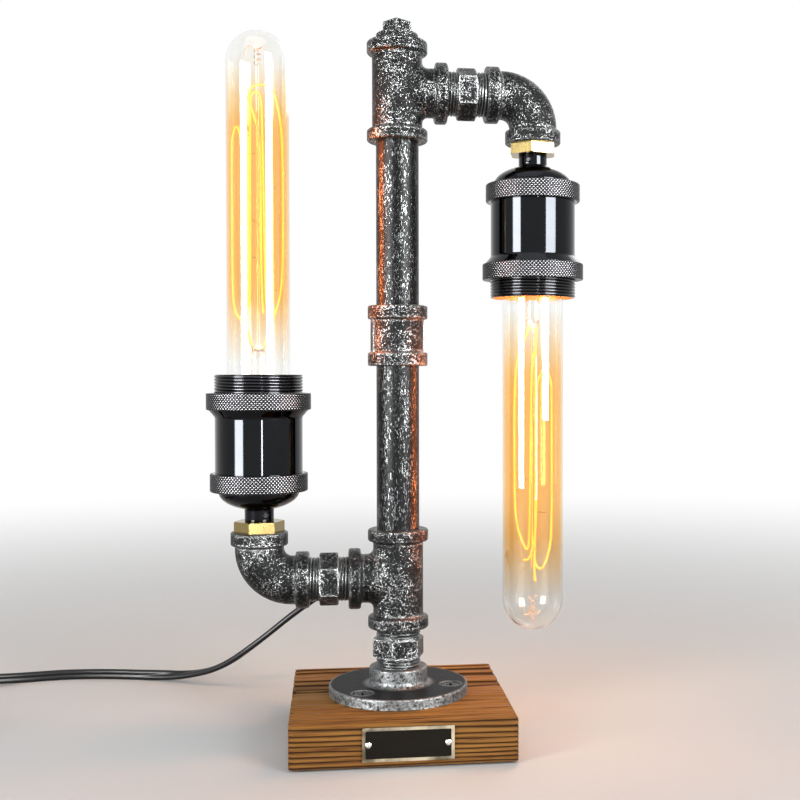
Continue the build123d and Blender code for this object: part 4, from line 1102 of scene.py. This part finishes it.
glow = Finish("filament_glow", base_color=(0.35, 0.10, 0.02), roughness=0.6)
hot = glow.between(glow.noise(90), 1.7, 2.3)
glow.set(emission_color=(1.0, 0.35, 0.035), emission_strength=hot)
support_metal = Finish("support_metal", metallic=1.0)
support_metal.mottled(900, (0.42, 0.20, 0.10), (0.60, 0.33, 0.18))
support_metal.worn(500, 0.18, 0.34)
for head in heads:
    thread = wires(f"{head}_thread", thread_runs[head], 0.55, head, glow)
    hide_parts(f"{head}_bulb_filament")
    wires(f"{head}_supports", support_runs, 0.2, head, support_metal)
print("faces of a thread:", len(thread.data.polygons))

# %% [markdown]
# Fine hooks stand out from the glass rod at even steps, each turned on from the one below, and hold
# the thread off it. They repeat, so a tree makes them: a line of points, one wire at each, turned
# by its number.

# %% Hooks as a tree
hook_sizes = {
    "Count": 6, "Spacing": 0.017, "Reach": 0.009, "Thickness": 0.00016, "Turn": 2.2,
}


def hook_tree():
    w, given = tree_with_inputs("hook_ladder", hook_sizes)
    step_up = w.xyz(z=given["Spacing"])
    line = w.put("GeometryNodeMeshLine", {"Count": given["Count"], "Offset": step_up})
    out = w.xyz(given["Reach"], z=w.times(given["Reach"], 0.12))
    wire = w.put("GeometryNodeCurvePrimitiveLine", {"End": out})
    sockets = {"Resolution": 6, "Radius": given["Thickness"]}
    circle = w.put("GeometryNodeCurvePrimitiveCircle", sockets).outputs["Curve"]
    sockets = {"Curve": wire, "Profile Curve": circle, "Fill Caps": True}
    hook = w.put("GeometryNodeCurveToMesh", sockets)
    turn = w.xyz(z=w.times(w.put("GeometryNodeInputIndex"), given["Turn"]))
    sockets = {"Points": line, "Instance": hook, "Rotation": turn}
    return ended(w, w.put("GeometryNodeInstanceOnPoints", sockets), given["Finish"])


ladder = hook_tree()
for head in heads:
    lowest = seats[head] @ Matrix.Translation((0, 0, 0.118))
    grown(f"{head}_hooks", ladder, lowest, f"{head}_bulb", support_metal, "nickel")
print("hooks on each rod:", hook_sizes["Count"])

# %% [markdown]
# The thread itself is too thin to light its surroundings cleanly. A few small round lamps on the
# axis of each bulb stand for its light on the iron, one low down for its light in the holder's
# mouth, and one slender lamp for its image in all that shines.

# %% Light of the bulbs
unseen = ("camera", "transmission")
mirror_radiance = {"lower": 60.0, "upper": 32.0}


def on_axis(head, height):
    """A spot on the axis of a bulb, this many millimetres up from the elbow."""
    return seats[head] @ Vector((0, 0, height * MM))


for head in heads:
    for height in (95, 150, 200):
        lamp(
            f"{head}_glow_{height}", "POINT", on_axis(head, height), 0.085, (1.0, 0.40, 0.10),
            (*unseen, "glossy"), shadow_soft_size=0.006,
        )
    lamp(
        f"{head}_glow_mouth", "POINT", on_axis(head, 71), 0.30, (1.0, 0.30, 0.06), unseen,
        shadow_soft_size=0.008,
    )
    spot = on_axis(head, 155)
    spot.x *= 0.74
    flat_lamp(
        f"{head}_glow_line", spot, Vector((-spot.x, 0, 0)), 0.012, 0.110, mirror_radiance[head],
        (1.0, 0.20, 0.03), (*unseen, "diffuse"),
    )
